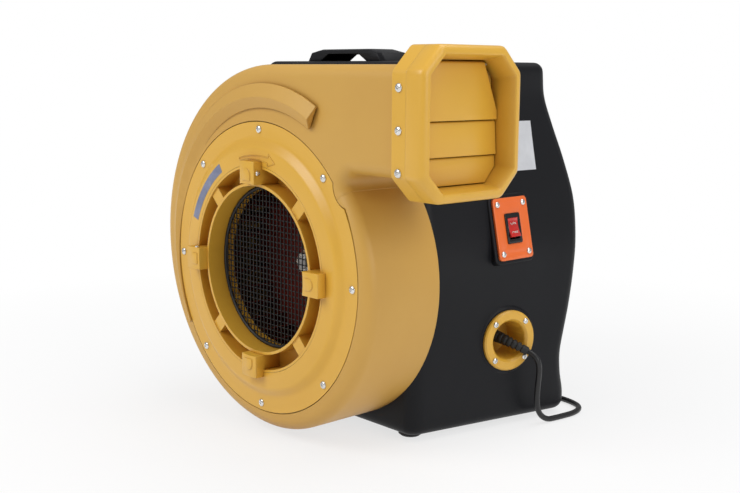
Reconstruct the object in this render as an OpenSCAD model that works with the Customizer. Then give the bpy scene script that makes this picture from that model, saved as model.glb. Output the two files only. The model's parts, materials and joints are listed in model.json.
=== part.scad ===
/* [Scroll] */
// Height of the fan axis above the floor
fan_h = 210; // [206:1:240]
// Depth of the scroll, front to back
scroll_depth = 112; // [104:1:140]
// Wall of the moulded scroll
scroll_wall = 4; // [3:0.5:5]
// Round of the scroll's front edge
scroll_edge_r = 16; // [12:1:20]
// Radius of the upper left quarter
upper_arc_r = 224; // [220:1:230]
// Radius of the lower left quarter
lower_arc_r = 223; // [219:1:229]
// Radius of the right half
right_arc_r = 189; // [186:1:192]
// Centre of the upper left quarter, right of the fan axis
arc_centre_x = 8.5; // [6:0.5:11]
// Centre of the upper left quarter, above the fan axis
arc_centre_z = 23; // [20:0.5:26]
// Fillet under the duct, where it leaves the scroll
tongue_r = 12; // [8:1:16]
// Height of the duct outside
duct_h = 120; // [110:1:126]
// Reach of the duct from the fan axis
duct_reach = 266; // [260:1:280]

/* [Crescent on the face] */
// Height of the crescent ridge
ridge_h = 7; // [4:0.5:9]
// Gap between the cover and the ridge
ridge_margin = 5; // [3:0.5:7]
// Width of the ridge's steep inner slope
ridge_inner_w = 13; // [10:1:16]
// Width of the ridge's outer slope
ridge_outer_w = 16; // [12:1:19]
// Offset of the ridge's centre from the fan axis
ridge_offset = 12; // [10:1:14]
// Tilt that fades the ridge towards the lower left
ridge_tilt = 1.3; // [0.8:0.1:1.8]

/* [Inlet cover] */
// Radius of the cover
cover_r = 179; // [176:0.5:181]
// Thickness of the cover
cover_t = 4; // [3:0.5:5]
// Radius of the cover's screw circle
cover_screw_r = 170; // [168:0.5:172]
// Foot radius of the rounded shoulder
shoulder_out_r = 161; // [157:0.5:163]
// Top radius of the rounded shoulder
shoulder_in_r = 146; // [142:0.5:150]
// Rise of the plateau over the flange
cover_rise = 7; // [5:0.5:9]
// Bore of the cover, where the collar sits
cover_bore_r = 127.5; // [125:0.5:130]

/* [Inlet collar] */
// Radius of the air inlet
inlet_r = 102; // [99:0.5:104]
// Wall of the rim
rim_t = 3.5; // [3:0.5:5]
// Depth of the channel round the rim
channel_depth = 25; // [20:1:26]
// Width of a web across the channel
web_w = 17; // [12:1:22]
// Size of a lug block
lug_w = 28; // [22:1:32]
// Height of a lug's face over the scroll's front
lug_face = 19; // [15:0.5:21]

/* [Outlet] */
// Width of the outlet collar, front to back
outlet_w = 150; // [148:1:158]
// Height of the outlet collar
outlet_h = 161; // [160:1:168]
// Length of the outlet collar
collar_len = 20; // [18:1:26]
// Length of the bezel in front of it
bezel_len = 25; // [22:1:32]
// Cut of the eight-sided frame's corners
outlet_chamfer = 27; // [22:1:30]
// Width of the bezel's front face
bezel_face = 11; // [9:0.5:13]

/* [Motor housing] */
// Widest breadth of the housing
housing_w = 404; // [396:1:420]
// Depth of the housing behind the scroll
housing_d = 285; // [275:1:300]
// Height of the housing's top over the fan axis
housing_top = 252; // [250:1:262]
// Wall of the housing
housing_wall = 4; // [3:0.5:5]
// Round of the housing's upright edges
housing_corner_r = 20; // [14:1:26]
// Height of a foot
foot_h = 6; // [5:0.5:10]
// Radius of a foot
foot_r = 15; // [12:0.5:20]

/* [Handle] */
// Breadth of the handle at its foot
handle_foot_w = 148; // [140:1:160]
// Breadth of the handle at its top
handle_top_w = 104; // [98:1:112]
// Rise of the handle over the housing
handle_rise = 15; // [14:0.5:20]
// Depth of the grip, front to back
handle_d = 50; // [44:1:56]
// Depth of the hand pocket under the grip
pocket_depth = 26; // [20:1:32]

/* [Switch and cord inlet] */
// Width of the switch plate
plate_w = 59; // [54:1:64]
// Height of the switch plate
plate_h = 78; // [74:1:86]
// Width of the switch
switch_w = 31; // [28:0.5:34]
// Height of the switch
switch_h = 43; // [40:0.5:46]
// Travel of the rocker
rocker_travel = 14; // [8:1:20]
// Outer radius of the cord grommet
grommet_r = 39; // [36:0.5:42]
// Radius of the grommet's bowl
bowl_r = 25; // [22:0.5:26]
// Depth of the grommet's bowl
bowl_depth = 35; // [28:1:38]
// Diameter of the cord
cord_d = 7.3; // [6:0.1:9]

/* [Fan and motor] */
// Radius of the impeller
impeller_r = 132; // [126:1:140]
// Number of blades
blades = 30; // [20:1:34]
// Radius of the shaft
shaft_r = 8; // [6:0.5:10]
// Radius of the stator core
stator_r = 80; // [74:1:86]
// Length of the stator core
stator_len = 70; // [60:1:90]

/* [Hidden] */

$fn = 96;
overrun = 2;
// Clearance between rigid pieces, and the running fit of a pin
gap = 0.3;
run_fit = 0.05;

yellow = [0.89, 0.66, 0.18];
black = [0.10, 0.11, 0.13];
steel = [0.78, 0.79, 0.80];

// The outline is three arcs that meet at the left, at the bottom and at the top
low_centre = [arc_centre_x - upper_arc_r + lower_arc_r, arc_centre_z];
right_centre = [low_centre[0], arc_centre_z - lower_arc_r + right_arc_r];
duct_top = arc_centre_z + upper_arc_r;
duct_floor = duct_top - duct_h;
tongue_z = duct_floor - tongue_r;
tongue_x = right_centre[0] + sqrt(pow(right_arc_r + tongue_r, 2) - pow(tongue_z - right_centre[1], 2));
tongue_turn = atan2(tongue_z - right_centre[1], tongue_x - right_centre[0]);

ridge_in_r = cover_r + ridge_margin;
ridge_crest_r = ridge_in_r + ridge_inner_w;
ridge_out_r = ridge_crest_r + ridge_outer_w;

// Pan head screws
screw_head_r = 4.7;
screw_head_h = 2.6;
screw_shank_r = 2.2;
screw_len = 14;

// Outlet frame
collar_lap_share = 0.65;
outlet_shift = 2;
outlet_drop = 0.5;
outlet_x0 = duct_reach - collar_lap_share * collar_len;
collar_x1 = outlet_x0 + collar_len;
bezel_x1 = collar_x1 + bezel_len;
outlet_mid_y = scroll_depth / 2 - outlet_shift;
outlet_mid_z = (duct_top + duct_floor) / 2 - outlet_drop;
flap_t = 2.5;
flap_barrel_r = 3;
flap_pin_r = 1.5;
flap_lean = 2.5;

// Housing
base_z = foot_h - fan_h;
housing_h = housing_top - base_z;
edge_round_r = 12;

// The part stands on its feet, with its origin under the middle of its box
reach_left = upper_arc_r - arc_centre_x;
reach_front = outlet_w / 2 - outlet_mid_y + screw_head_h;
reach_back = scroll_depth + housing_d;
at_x = (reach_left - bezel_x1) / 2;
at_y = (reach_front - reach_back) / 2;

module at_fan() {
    translate([at_x, at_y, fan_h]) children();
}

// Turns a body made on the Z axis to face the front, with its height towards the viewer
module to_front(x = 0, z = 0) {
    translate([x, 0, z]) rotate([90, 0, 0]) children();
}

// Turns a body made on the Z axis to point backwards from the plane y
module to_back(x = 0, y = 0, z = 0) {
    translate([x, y, z]) rotate([-90, 0, 0]) children();
}

module round_edge(r0, r1, back, front, e) {
    translate([r0, -back]) square([r1 - r0, back - front - e]);
    translate([r0, -back]) square([r1 - r0 - e, back - front]);
    translate([r1 - e, -front - e]) circle(e);
}

module sector(centre, r, from, to, front, back, e) {
    to_front(centre[0], centre[1]) rotate_extrude(angle = to - from, start = from, $fn = 180)
        round_edge(0, r, back, front, e);
}

// The space of the scroll, drawn in by inset: arcs, duct, and the fillet between them
module volute(inset, front, back, reach) {
    e = scroll_edge_r - inset;
    flat_r = tongue_r + scroll_edge_r;
    sector([arc_centre_x, arc_centre_z], upper_arc_r - inset, 90, 180, front, back, e);
    sector(low_centre, lower_arc_r - inset, 180, 270, front, back, e);
    sector(right_centre, right_arc_r - inset, 270, 360 + tongue_turn, front, back, e);
    duct(inset, front, back, reach, e);
    // fillet under the duct
    to_front(tongue_x, tongue_z)
        rotate_extrude(angle = 90 + tongue_turn, start = 90) {
            translate([tongue_r + inset, -back]) square([2 * scroll_edge_r, back - front - e]);
            translate([flat_r, -back]) square([scroll_edge_r, back - front]);
            translate([flat_r, -front - e]) circle(e);
        }
    difference() {
        to_front() translate([0, 0, -back]) linear_extrude(back - front) polygon([
            [low_centre[0], right_centre[1]],
            right_centre + (right_arc_r - scroll_edge_r) * [cos(tongue_turn / 2), sin(tongue_turn / 2)],
            right_centre + (right_arc_r - scroll_edge_r) * [cos(tongue_turn), sin(tongue_turn)],
            [tongue_x, tongue_z],
            [tongue_x, tongue_z + flat_r],
            [low_centre[0], duct_floor + scroll_edge_r]]);
        to_front(tongue_x, tongue_z) translate([0, 0, -back - overrun])
            cylinder(r = flat_r, h = back - front + 2 * overrun);
    }
}

// Its round upper edge starts over the arcs' centre, and the lower one at the fillet
module duct(inset, front, back, reach, e) {
    z0 = duct_floor + inset;
    z1 = duct_top - inset;
    translate([arc_centre_x, front, z0 + e]) cube([reach - arc_centre_x, back - front, z1 - z0 - 2 * e]);
    for (edge = [[arc_centre_x, z1 - e, z1 - e], [tongue_x, z0 + e, z0]]) {
        translate([edge[0], front + e, edge[2]]) cube([reach - edge[0], back - front - e, e]);
        translate([edge[0], front + e, edge[1]]) rotate([0, 90, 0]) cylinder(r = e, h = reach - edge[0]);
    }
}

// Raised crescent with a sharp crest, tilted so that it fades into the face
module ridge() {
    ridge_root = scroll_wall / 2;
    ridge_start = 62;
    ridge_sweep = 150;
    translate([ridge_offset, 0, ridge_offset]) rotate([0, -45, 0]) rotate([0, 0, -ridge_tilt])
        rotate([0, 45, 0]) to_front() rotate_extrude(angle = ridge_sweep, start = ridge_start, $fn = 180)
            polygon([[ridge_in_r, -ridge_root], [ridge_out_r, -ridge_root], [ridge_out_r, 0],
                [ridge_crest_r, ridge_h], [ridge_in_r, 0]]);
}

// Cover outline: a disc that dips round the tongue
module cover_disc(r, margin, y0, y1) {
    difference() {
        translate([0, y1, 0]) to_front() cylinder(r = r, h = y1 - y0, $fn = 180);
        translate([0, y1 + overrun, 0]) to_front(tongue_x, tongue_z)
            cylinder(r = tongue_r + scroll_edge_r - margin, h = y1 - y0 + 2 * overrun);
    }
}

// Places around a circle
module around(count, r, first = 0) {
    for (k = [0 : count - 1]) {
        turn = first + k * 360 / count;
        translate([r * cos(turn), 0, r * sin(turn)]) children();
    }
}

cover_seat_gap = 1;
cover_seat_w = 26;
cover_hole_r = cover_r - cover_seat_w;
boss_r = 7;
// Screws that join the scroll, the plate and the housing: centre, radius and turn
boss_bite = 2;
join_inset = scroll_wall + boss_r - boss_bite;
join_places = [
    right_centre + (right_arc_r - join_inset) * [cos(-56), sin(-56)],
    low_centre + (lower_arc_r - join_inset) * [cos(262), sin(262)],
    low_centre + (lower_arc_r - join_inset) * [cos(230), sin(230)],
    [arc_centre_x, arc_centre_z] + (upper_arc_r - join_inset) * [cos(128), sin(128)],
    [arc_centre_x, arc_centre_z] + (upper_arc_r - join_inset) * [cos(98), sin(98)],
    [arc_centre_x + duct_h * 3 / 4, duct_top - join_inset]];
plate_t = 4;
plate_y = scroll_depth - plate_t;
boss_len = 24;

module scroll_housing() at_fan() color(yellow) difference() {
    union() {
        volute(0, 0, scroll_depth, duct_reach);
        ridge();
    }
    difference() {
        volute(scroll_wall, scroll_wall, scroll_depth + overrun, duct_reach + overrun);
        // seat ring that backs the cover
        translate([0, scroll_wall + cover_t, 0]) to_front() difference() {
            cylinder(r = cover_r + scroll_wall, h = cover_t + overrun);
            translate([0, 0, -overrun]) cylinder(r = cover_hole_r, h = cover_t + 3 * overrun);
        }
        for (p = join_places) to_back(p[0], plate_y - boss_len, p[1]) difference() {
            cylinder(r = boss_r, h = boss_len);
            cylinder(r = screw_shank_r, h = boss_len + overrun);
        }
    }
    cover_disc(cover_r + cover_seat_gap, cover_seat_gap, -overrun - ridge_h, cover_t);
    translate([0, 3 * cover_t, 0]) to_front() cylinder(r = cover_hole_r, h = 4 * cover_t);
    around(8, cover_screw_r) to_back() cylinder(r = screw_shank_r, h = scroll_wall + 2 * cover_t);
    for (side = [0, 1]) for (z = collar_screw_z) to_back(collar_screw_x, side * scroll_depth - 2 * scroll_wall, z)
        cylinder(r = screw_shank_r, h = 4 * scroll_wall);
}

// The plate stands inside the rim, flush with its rear edge
module scroll_back_plate() at_fan() color(yellow) difference() {
    volute_slab(scroll_wall + gap, plate_y, scroll_depth);
    to_back(0, plate_y - overrun, 0) cylinder(r = hub_r + hub_gap, h = plate_t + 2 * overrun);
    for (p = join_places) to_back(p[0], plate_y - overrun, p[1])
        cylinder(r = screw_shank_r + gap, h = plate_t + 2 * overrun);
    around(4, motor_screw_circle, 45) to_back(0, plate_y - overrun, 0)
        cylinder(r = motor_screw_r + gap, h = plate_t + 2 * overrun);
    for (z = collar_screw_z) to_back(collar_screw_x, plate_y - overrun, z)
        cylinder(r = screw_shank_r, h = plate_t + 2 * overrun);
}

// The scroll's outline without its round edge
module volute_slab(inset, y0, y1) {
    h = y1 - y0;
    flat_r = tongue_r + inset;
    translate([0, y1, 0]) to_front() {
        translate([arc_centre_x, arc_centre_z, 0])
            rotate_extrude(angle = 90, start = 90, $fn = 180) square([upper_arc_r - inset, h]);
        translate([low_centre[0], low_centre[1], 0])
            rotate_extrude(angle = 90, start = 180, $fn = 180) square([lower_arc_r - inset, h]);
        translate([right_centre[0], right_centre[1], 0])
            rotate_extrude(angle = 180, start = 270, $fn = 180) square([right_arc_r - inset, h]);
        translate([arc_centre_x, duct_floor + inset, 0])
            cube([duct_reach - arc_centre_x, duct_h - 2 * inset, h]);
    }
}

screw_embed = screw_len - screw_head_h;

// Pan head screw along Z: the head's seat is at zero, the shank points down
module pan_screw(len = screw_embed, head_r = screw_head_r, head_h = screw_head_h, shank_r = screw_shank_r) {
    difference() {
        union() {
            cylinder(r = head_r, h = head_h / 3);
            translate([0, 0, head_h / 3]) cylinder(r1 = head_r, r2 = head_r * 2 / 3, h = head_h * 2 / 3);
        }
        for (turn = [0, 90]) rotate(turn)
            translate([-head_r / 2, -head_h / 6, head_h / 2]) cube([head_r, head_h / 3, head_h]);
    }
    translate([0, 0, -len]) cylinder(r = shank_r, h = len);
}

module housing_screws() at_fan() color(steel) for (p = join_places)
    to_back(p[0], scroll_depth + housing_wall, p[1]) pan_screw();

shoulder_steps = 8;
// Height of the shoulder at a share of its width, as a smooth step
function step(share) = (1 - cos(180 * share)) / 2;
cover_skirt = channel_depth - cover_rise;
collar_floor_t = 3;

module inlet_cover() at_fan() color(yellow) difference() {
    intersection() {
        to_front() rotate_extrude($fn = 180) polygon(concat(
            [[cover_bore_r, -cover_skirt], [cover_bore_r + cover_t, -cover_skirt],
                [cover_bore_r + cover_t, cover_rise - cover_t]],
            [for (k = [shoulder_steps : -1 : 0]) [
                shoulder_out_r - (shoulder_out_r - shoulder_in_r) * k / shoulder_steps - cover_t / 2,
                cover_rise * step(k / shoulder_steps) - cover_t]],
            [[cover_r, -cover_t], [cover_r, 0]],
            [for (k = [0 : shoulder_steps]) [
                shoulder_out_r - (shoulder_out_r - shoulder_in_r) * k / shoulder_steps,
                cover_rise * step(k / shoulder_steps)]],
            [[cover_bore_r, cover_rise]]));
        cover_disc(cover_r + overrun, 0, -cover_rise - overrun, cover_skirt + overrun);
    }
    around(8, cover_screw_r) to_back(0, -overrun, 0) cylinder(r = screw_shank_r + gap, h = cover_t + 2 * overrun);
    around(4, lug_centre_r) to_back(0, -cover_rise - overrun, 0)
        cylinder(r = screw_shank_r, h = overrun / 2);
}

module cover_screws() at_fan() color(steel) around(8, cover_screw_r) to_front() pan_screw(scroll_wall + cover_t);

collar_r = cover_bore_r - gap;
channel_in_r = inlet_r + rim_t;
channel_out_r = collar_r - collar_floor_t;
guard_y = 17;
guard_t = 2;
bell_y = 30;
web_drop = 2;
lug_shift = 2;
lug_centre_r = (channel_in_r + cover_bore_r) / 2 + lug_shift;

module inlet_collar() at_fan() color(yellow) {
    to_front() rotate_extrude($fn = 180) polygon([
        [inlet_r, cover_rise], [inlet_r, -guard_y - guard_t], [inlet_r - rim_t, -guard_y - guard_t],
        [inlet_r - rim_t, -bell_y], [inlet_r, -bell_y], [channel_in_r, -cover_skirt - collar_floor_t],
        [cover_bore_r + cover_t, -cover_skirt - collar_floor_t], [cover_bore_r + cover_t, -cover_skirt],
        [collar_r, -cover_skirt], [collar_r, cover_rise], [channel_out_r, cover_rise],
        [channel_out_r, -cover_skirt], [channel_in_r, -cover_skirt], [channel_in_r, cover_rise]]);
    // webs, cut round by the rim and the outer wall
    to_front() difference() {
        for (turn = [45 : 90 : 315]) rotate(turn)
            translate([inlet_r, -web_w / 2, -cover_skirt - collar_floor_t / 2])
                cube([collar_r - inlet_r - collar_floor_t / 2, web_w,
                    channel_depth - web_drop + collar_floor_t / 2]);
        translate([0, 0, -channel_depth - overrun])
            cylinder(r = inlet_r + rim_t / 2, h = 2 * channel_depth, $fn = 180);
    }
}

// A block that stands in the channel and laps over the cover
lug_inner_r = channel_in_r + gap;
lug_outer_r = lug_centre_r + lug_w / 2;
lug_screw_y = -cover_rise - (lug_face - cover_rise) / 2;
pad_r = lug_w / 4;
pad_h = 1.4;

module inlet_lugs() at_fan() color(yellow) to_front() for (turn = [0 : 90 : 270]) rotate(turn) difference() {
    union() {
        intersection() {
            translate([lug_inner_r - overrun, -lug_w / 2, -cover_skirt])
                cube([lug_outer_r - lug_inner_r, lug_w, lug_face + cover_skirt]);
            difference() {
                translate([0, 0, -cover_skirt]) cylinder(r = channel_out_r - gap, h = lug_face + cover_skirt, $fn = 180);
                translate([0, 0, -cover_skirt - overrun])
                    cylinder(r = lug_inner_r, h = lug_face + cover_skirt + 2 * overrun, $fn = 180);
            }
        }
        // the head, over the channel and the cover's plateau
        difference() {
            translate([lug_inner_r - overrun, -lug_w / 2, cover_rise])
                cube([lug_outer_r - lug_inner_r + overrun, lug_w, lug_face - cover_rise]);
            cylinder(r = lug_inner_r, h = 2 * lug_face, $fn = 180);
        }
        // round pad with one straight side
        translate([lug_centre_r - pad_r / 4, 0, lug_face]) cylinder(r = pad_r, h = pad_h);
        translate([lug_centre_r - pad_r / 4 - pad_r, -pad_r, lug_face]) cube([pad_r, 2 * pad_r, pad_h]);
    }
    translate([lug_centre_r, -lug_w / 2 - overrun, -lug_screw_y]) rotate([-90, 0, 0])
        cylinder(r = lug_screw_r, h = lug_screw_len + overrun);
}

lug_screw_r = 1.6;
lug_screw_len = 9;

module lug_screws() at_fan() color(steel) to_front() for (turn = [0 : 90 : 270]) rotate(turn)
    translate([lug_centre_r, -lug_w / 2, -lug_screw_y]) rotate([90, 0, 0])
        pan_screw(lug_screw_len, 2 * lug_screw_r, lug_screw_r, lug_screw_r);

guard_rim = 5;
guard_pitch = 10.5;
guard_bar = 1.6;

// Square mesh in a round frame
module inlet_guard() at_fan() color(black) translate([0, guard_y + guard_t, 0]) to_front() {
    guard_r = inlet_r - gap;
    count = floor(guard_r / guard_pitch);
    difference() {
        cylinder(r = guard_r, h = guard_t, $fn = 180);
        translate([0, 0, -overrun]) cylinder(r = guard_r - guard_rim, h = guard_t + 2 * overrun, $fn = 180);
    }
    for (k = [-count + 1 : count - 1]) {
        half = sqrt(pow(guard_r - guard_rim / 2, 2) - pow(k * guard_pitch, 2));
        translate([-half, k * guard_pitch - guard_bar / 2, 0]) cube([2 * half, guard_bar, guard_t]);
        translate([k * guard_pitch - guard_bar / 2, -half, 0]) cube([guard_bar, 2 * half, guard_t]);
    }
}

// Points of an eight-sided outline with rounded corners, counter-clockwise in (y, z)
corner_points = 4;
function octagon(y0, y1, z0, z1, cut) = [
    [y1 - cut, z0], [y1, z0 + cut], [y1, z1 - cut], [y1 - cut, z1],
    [y0 + cut, z1], [y0, z1 - cut], [y0, z0 + cut], [y0 + cut, z0]];
function soft_corner(p, a, b, r) = let (
        u = (a - p) / norm(a - p), v = (b - p) / norm(b - p),
        half = acos(u * v) / 2, back = r / tan(half), mid = (u + v) / norm(u + v),
        c = p + mid * r / sin(half), from = p + u * back - c, to = p + v * back - c)
    [for (k = [0 : corner_points - 1]) let (s = k / (corner_points - 1), w = from * (1 - s) + to * s)
        c + w * r / norm(w)];
function soft_octagon(y0, y1, z0, z1, cut, r) = let (p = octagon(y0, y1, z0, z1, cut))
    [for (k = [0 : 7]) each soft_corner(p[k], p[(k + 7) % 8], p[(k + 1) % 8], r)];
function outlet_outline(inset, r) = soft_octagon(
    outlet_mid_y - outlet_w / 2 + inset, outlet_mid_y + outlet_w / 2 - inset,
    outlet_mid_z - outlet_h / 2 + inset, outlet_mid_z + outlet_h / 2 - inset,
    outlet_chamfer - inset * (2 - sqrt(2)), r);
function on_x(x, outline) = [for (p = outline) [x, p[0], p[1]]];

// Closed body through rings of equal count, each counter-clockwise seen from its far end
module skin(rings) {
    n = len(rings[0]);
    last = len(rings) - 1;
    polyhedron(
        points = [for (ring = rings) each ring],
        faces = concat(
            [[for (j = [0 : n - 1]) j]],
            [[for (j = [n - 1 : -1 : 0]) last * n + j]],
            [for (i = [0 : last - 1]) for (j = [0 : n - 1]) each [
                [i * n + j, (i + 1) * n + j, (i + 1) * n + (j + 1) % n],
                [i * n + j, (i + 1) * n + (j + 1) % n, i * n + (j + 1) % n]]]));
}

outlet_corner_r = 9;
collar_wall = 4;
collar_screw_x = outlet_x0 + collar_len / 2;
collar_screw_pitch = 43;
collar_screw_drop = 6;
collar_screw_z = [for (k = [-1 : 1]) outlet_mid_z - collar_screw_drop + k * collar_screw_pitch];
sleeve_t = 3;

module along_x(x0, x1, outline) {
    translate([x0, 0, 0]) rotate([90, 0, 90]) linear_extrude(x1 - x0) polygon(outline);
}

module duct_hole(x0, x1, margin) {
    translate([x0, -margin, duct_floor - margin])
        cube([x1 - x0, scroll_depth + 2 * margin, duct_h + 2 * margin]);
}

// Hollow frame round the duct's end, open towards the bezel
module outlet_collar() at_fan() color(yellow) difference() {
    along_x(outlet_x0, collar_x1, outlet_outline(0, outlet_corner_r));
    difference() {
        along_x(outlet_x0 + collar_wall, collar_x1 + overrun, outlet_outline(collar_wall, outlet_corner_r / 2));
        duct_hole(outlet_x0, duct_reach, gap + sleeve_t);
        // blocks behind the screws
        for (z = collar_screw_z) translate([outlet_x0, outlet_mid_y - outlet_w / 2, z - boss_r])
            cube([duct_reach - outlet_x0, outlet_w, 2 * boss_r]);
    }
    duct_hole(outlet_x0 - overrun, collar_x1 + overrun, gap);
    for (z = collar_screw_z) translate([collar_screw_x, outlet_mid_y - outlet_w / 2 - overrun, z]) rotate([-90, 0, 0])
        cylinder(r = screw_shank_r + gap, h = outlet_w + 2 * overrun);
}

collar_screw_len = outlet_w / 2 - outlet_mid_y + scroll_wall;

module collar_screws() at_fan() color(steel) for (z = collar_screw_z) {
    translate([collar_screw_x, outlet_mid_y - outlet_w / 2, z]) rotate([90, 0, 0]) pan_screw(collar_screw_len);
    translate([collar_screw_x, outlet_mid_y + outlet_w / 2, z]) rotate([-90, 0, 0])
        pan_screw(outlet_mid_y + outlet_w / 2 - scroll_depth + scroll_wall);
}

bezel_round = 7;
reveal_step = 4;
reveal_in = bezel_face + reveal_step;
seat_gap = 1;
flap_x = duct_reach + flap_barrel_r + 2 * seat_gap;
seat_x = duct_reach + seat_gap;
flap_side_gap = 1;
bezel_land = 2;
bezel_flare = 3;
flap_pin_len = reveal_in + flap_side_gap - bezel_face - gap;

// Heights of the three pins, and of the lower edge of each flap
flap_top_z = outlet_mid_z + outlet_h / 2 - reveal_in - flap_side_gap;
flap_bottom_z = outlet_mid_z - outlet_h / 2 + reveal_in + flap_side_gap;
flap_field = flap_top_z - flap_bottom_z;
flap_split_shares = [1, 0.52, 0.23, 0];
function flap_edge(k) = flap_bottom_z + flap_field * flap_split_shares[k];
function flap_pin_z(k) = flap_edge(k) - flap_barrel_r - gap;
flap_y0 = outlet_mid_y - outlet_w / 2 + reveal_in + flap_side_gap;
flap_y1 = outlet_mid_y + outlet_w / 2 - reveal_in - flap_side_gap;
// The upper barrel ends where the frame's corners are cut
function barrel_in(k) = k == 0 ? outlet_chamfer - reveal_in * (2 - sqrt(2)) : 0;
function barrel_len(k) = flap_y1 - flap_y0 - 2 * barrel_in(k);

module outlet_bezel() at_fan() color(yellow) difference() {
    union() {
        skin([
            on_x(collar_x1, outlet_outline(0, outlet_corner_r)),
            on_x(collar_x1 + bezel_land, outlet_outline(0, outlet_corner_r)),
            for (a = [0 : 22.5 : 90]) on_x(bezel_x1 - bezel_round * (1 - sin(a)),
                outlet_outline(bezel_round * (1 - cos(a)), outlet_corner_r))]);
        // inner frame that reaches back to the duct and carries the pins
        along_x(seat_x, collar_x1 + overrun, outlet_outline(bezel_face, outlet_corner_r));
    }
    skin([
        on_x(seat_x - overrun, outlet_outline(reveal_in, outlet_corner_r / 2)),
        on_x(flap_x + 2 * flap_barrel_r, outlet_outline(reveal_in, outlet_corner_r / 2)),
        on_x(bezel_x1 - bezel_land, outlet_outline(bezel_face, outlet_corner_r / 2)),
        on_x(bezel_x1 + overrun, outlet_outline(bezel_face - bezel_flare, outlet_corner_r / 2))]);
    for (k = [0 : 2]) flap_pin(k);
}

// The upper flap's shoulders slope so that it swings up clear of the bezel's cut corners
flap_shoulder_h = 49;
shoulder_z = flap_pin_z(0) - flap_shoulder_h;
upper_outline = [[flap_y0, flap_edge(1)], [flap_y1, flap_edge(1)], [flap_y1, shoulder_z],
    [flap_y1 - barrel_in(0), flap_pin_z(0)], [flap_y1 - barrel_in(0), flap_top_z],
    [flap_y0 + barrel_in(0), flap_top_z], [flap_y0 + barrel_in(0), flap_pin_z(0)], [flap_y0, shoulder_z]];

// A flap hangs from the barrel at its upper edge and leans out towards its lower edge
module flap(k) at_fan() color(yellow) {
    drop = flap_pin_z(k) - flap_edge(k + 1) - gap;
    difference() {
        union() {
            translate([flap_x, flap_y0 + barrel_in(k), flap_pin_z(k)]) rotate([-90, 0, 0])
                cylinder(r = flap_barrel_r, h = barrel_len(k));
            intersection() {
                translate([flap_x, flap_y0, flap_pin_z(k)]) rotate([-90, 0, 0])
                    linear_extrude(flap_y1 - flap_y0) polygon([
                        [flap_barrel_r - flap_t, 0], [flap_barrel_r, 0],
                        [flap_barrel_r + flap_lean, drop], [flap_barrel_r + flap_lean - flap_t, drop]]);
                along_x(flap_x - 3 * flap_t, flap_x + 3 * flap_t, k == 0 ? upper_outline
                    : outlet_outline(reveal_in + flap_side_gap, flap_side_gap));
            }
        }
        translate([flap_x, flap_y0 - overrun, flap_pin_z(k)]) rotate([-90, 0, 0])
            cylinder(r = flap_pin_r + run_fit, h = flap_y1 - flap_y0 + 2 * overrun);
    }
}

module flap_upper() flap(0);
module flap_middle() flap(1);
module flap_lower() flap(2);

module flap_pin(k) {
    translate([flap_x, flap_y0 + barrel_in(k) - flap_pin_len, flap_pin_z(k)]) rotate([-90, 0, 0])
        cylinder(r = flap_pin_r, h = barrel_len(k) + 2 * flap_pin_len);
}
module flap_pins() at_fan() color(steel) for (k = [0 : 2]) flap_pin(k);

// Housing levels: height, half breadth in front, half breadth behind and depth, as shares
level_shares = [
    [0.00, 0.757, 0.990, 0.870], [0.05, 0.757, 0.990, 0.875], [0.11, 0.757, 0.990, 0.853],
    [0.17, 0.757, 0.990, 0.847], [0.23, 0.760, 0.990, 0.868], [0.31, 0.770, 0.985, 0.905],
    [0.41, 0.802, 0.970, 0.945], [0.50, 0.835, 0.945, 0.975], [0.61, 0.812, 0.890, 0.998],
    [0.72, 0.770, 0.830, 0.970], [0.82, 0.730, 0.782, 0.921], [0.90, 0.705, 0.748, 0.885],
    [0.96, 0.700, 0.742, 0.875], [1.00, 0.700, 0.742, 0.870]];
level_halves = 2;
function blend(a, b, c, d, t) = (2 * b + (c - a) * t + (2 * a - 5 * b + 4 * c - d) * t * t
    + (3 * b - 3 * c + d - a) * t * t * t) / 2;
last_level = len(level_shares) - 1;
fine_levels = [for (i = [0 : last_level - 1]) for (h = [0 : level_halves - 1]) blend(
    level_shares[max(i - 1, 0)], level_shares[i], level_shares[i + 1],
    level_shares[min(i + 2, last_level)], h / level_halves), level_shares[last_level]];
function level_at(height_share, column) = lookup(height_share, [for (l = fine_levels) [l[0], l[column]]]);
housing_corner_points = 6;

// One level of the housing: a box that widens to the rear, with round corners
function housing_ring(z, inset) = let (
        share = (z - base_z) / housing_h,
        front_half = housing_w / 2 * level_at(share, 1) - inset,
        rear_half = housing_w / 2 * level_at(share, 2) - inset,
        depth = housing_d * level_at(share, 3) - 2 * inset,
        r = max(housing_corner_r - inset, housing_corner_r / 4),
        side = r / rear_half, along = r / depth)
    [for (corner = [0 : 3]) for (k = [0 : housing_corner_points]) let (
            a = 90 * (corner + k / housing_corner_points),
            sx = (corner == 0 || corner == 3 ? 1 - side : side - 1) + side * cos(a),
            t = (corner < 2 ? 1 - along : along) + along * sin(a))
        [sx * (front_half + (rear_half - front_half) * t), scroll_depth + inset + t * depth, z]];

edge_steps = 4;
function housing_rings(wall) = let (z0 = base_z + wall, z1 = housing_top - wall, e = edge_round_r - wall)
    concat(
        [for (k = [0 : edge_steps]) let (a = 90 * k / edge_steps)
            housing_ring(z0 + e * (1 - cos(a)), wall + e * (1 - sin(a)))],
        [for (l = fine_levels) let (z = base_z + housing_h * l[0]) if (z > z0 + e && z < z1 - e)
            housing_ring(z, wall)],
        [for (k = [edge_steps : -1 : 0]) let (a = 90 * k / edge_steps)
            housing_ring(z1 - e * (1 - cos(a)), wall + e * (1 - sin(a)))]);

// Reach of the housing's side wall at a depth and a height
function side_wall(y, z) = let (
        share = (z - base_z) / housing_h,
        front_half = housing_w / 2 * level_at(share, 1),
        rear_half = housing_w / 2 * level_at(share, 2))
    front_half + (rear_half - front_half) * (y - scroll_depth) / (housing_d * level_at(share, 3));

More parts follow.
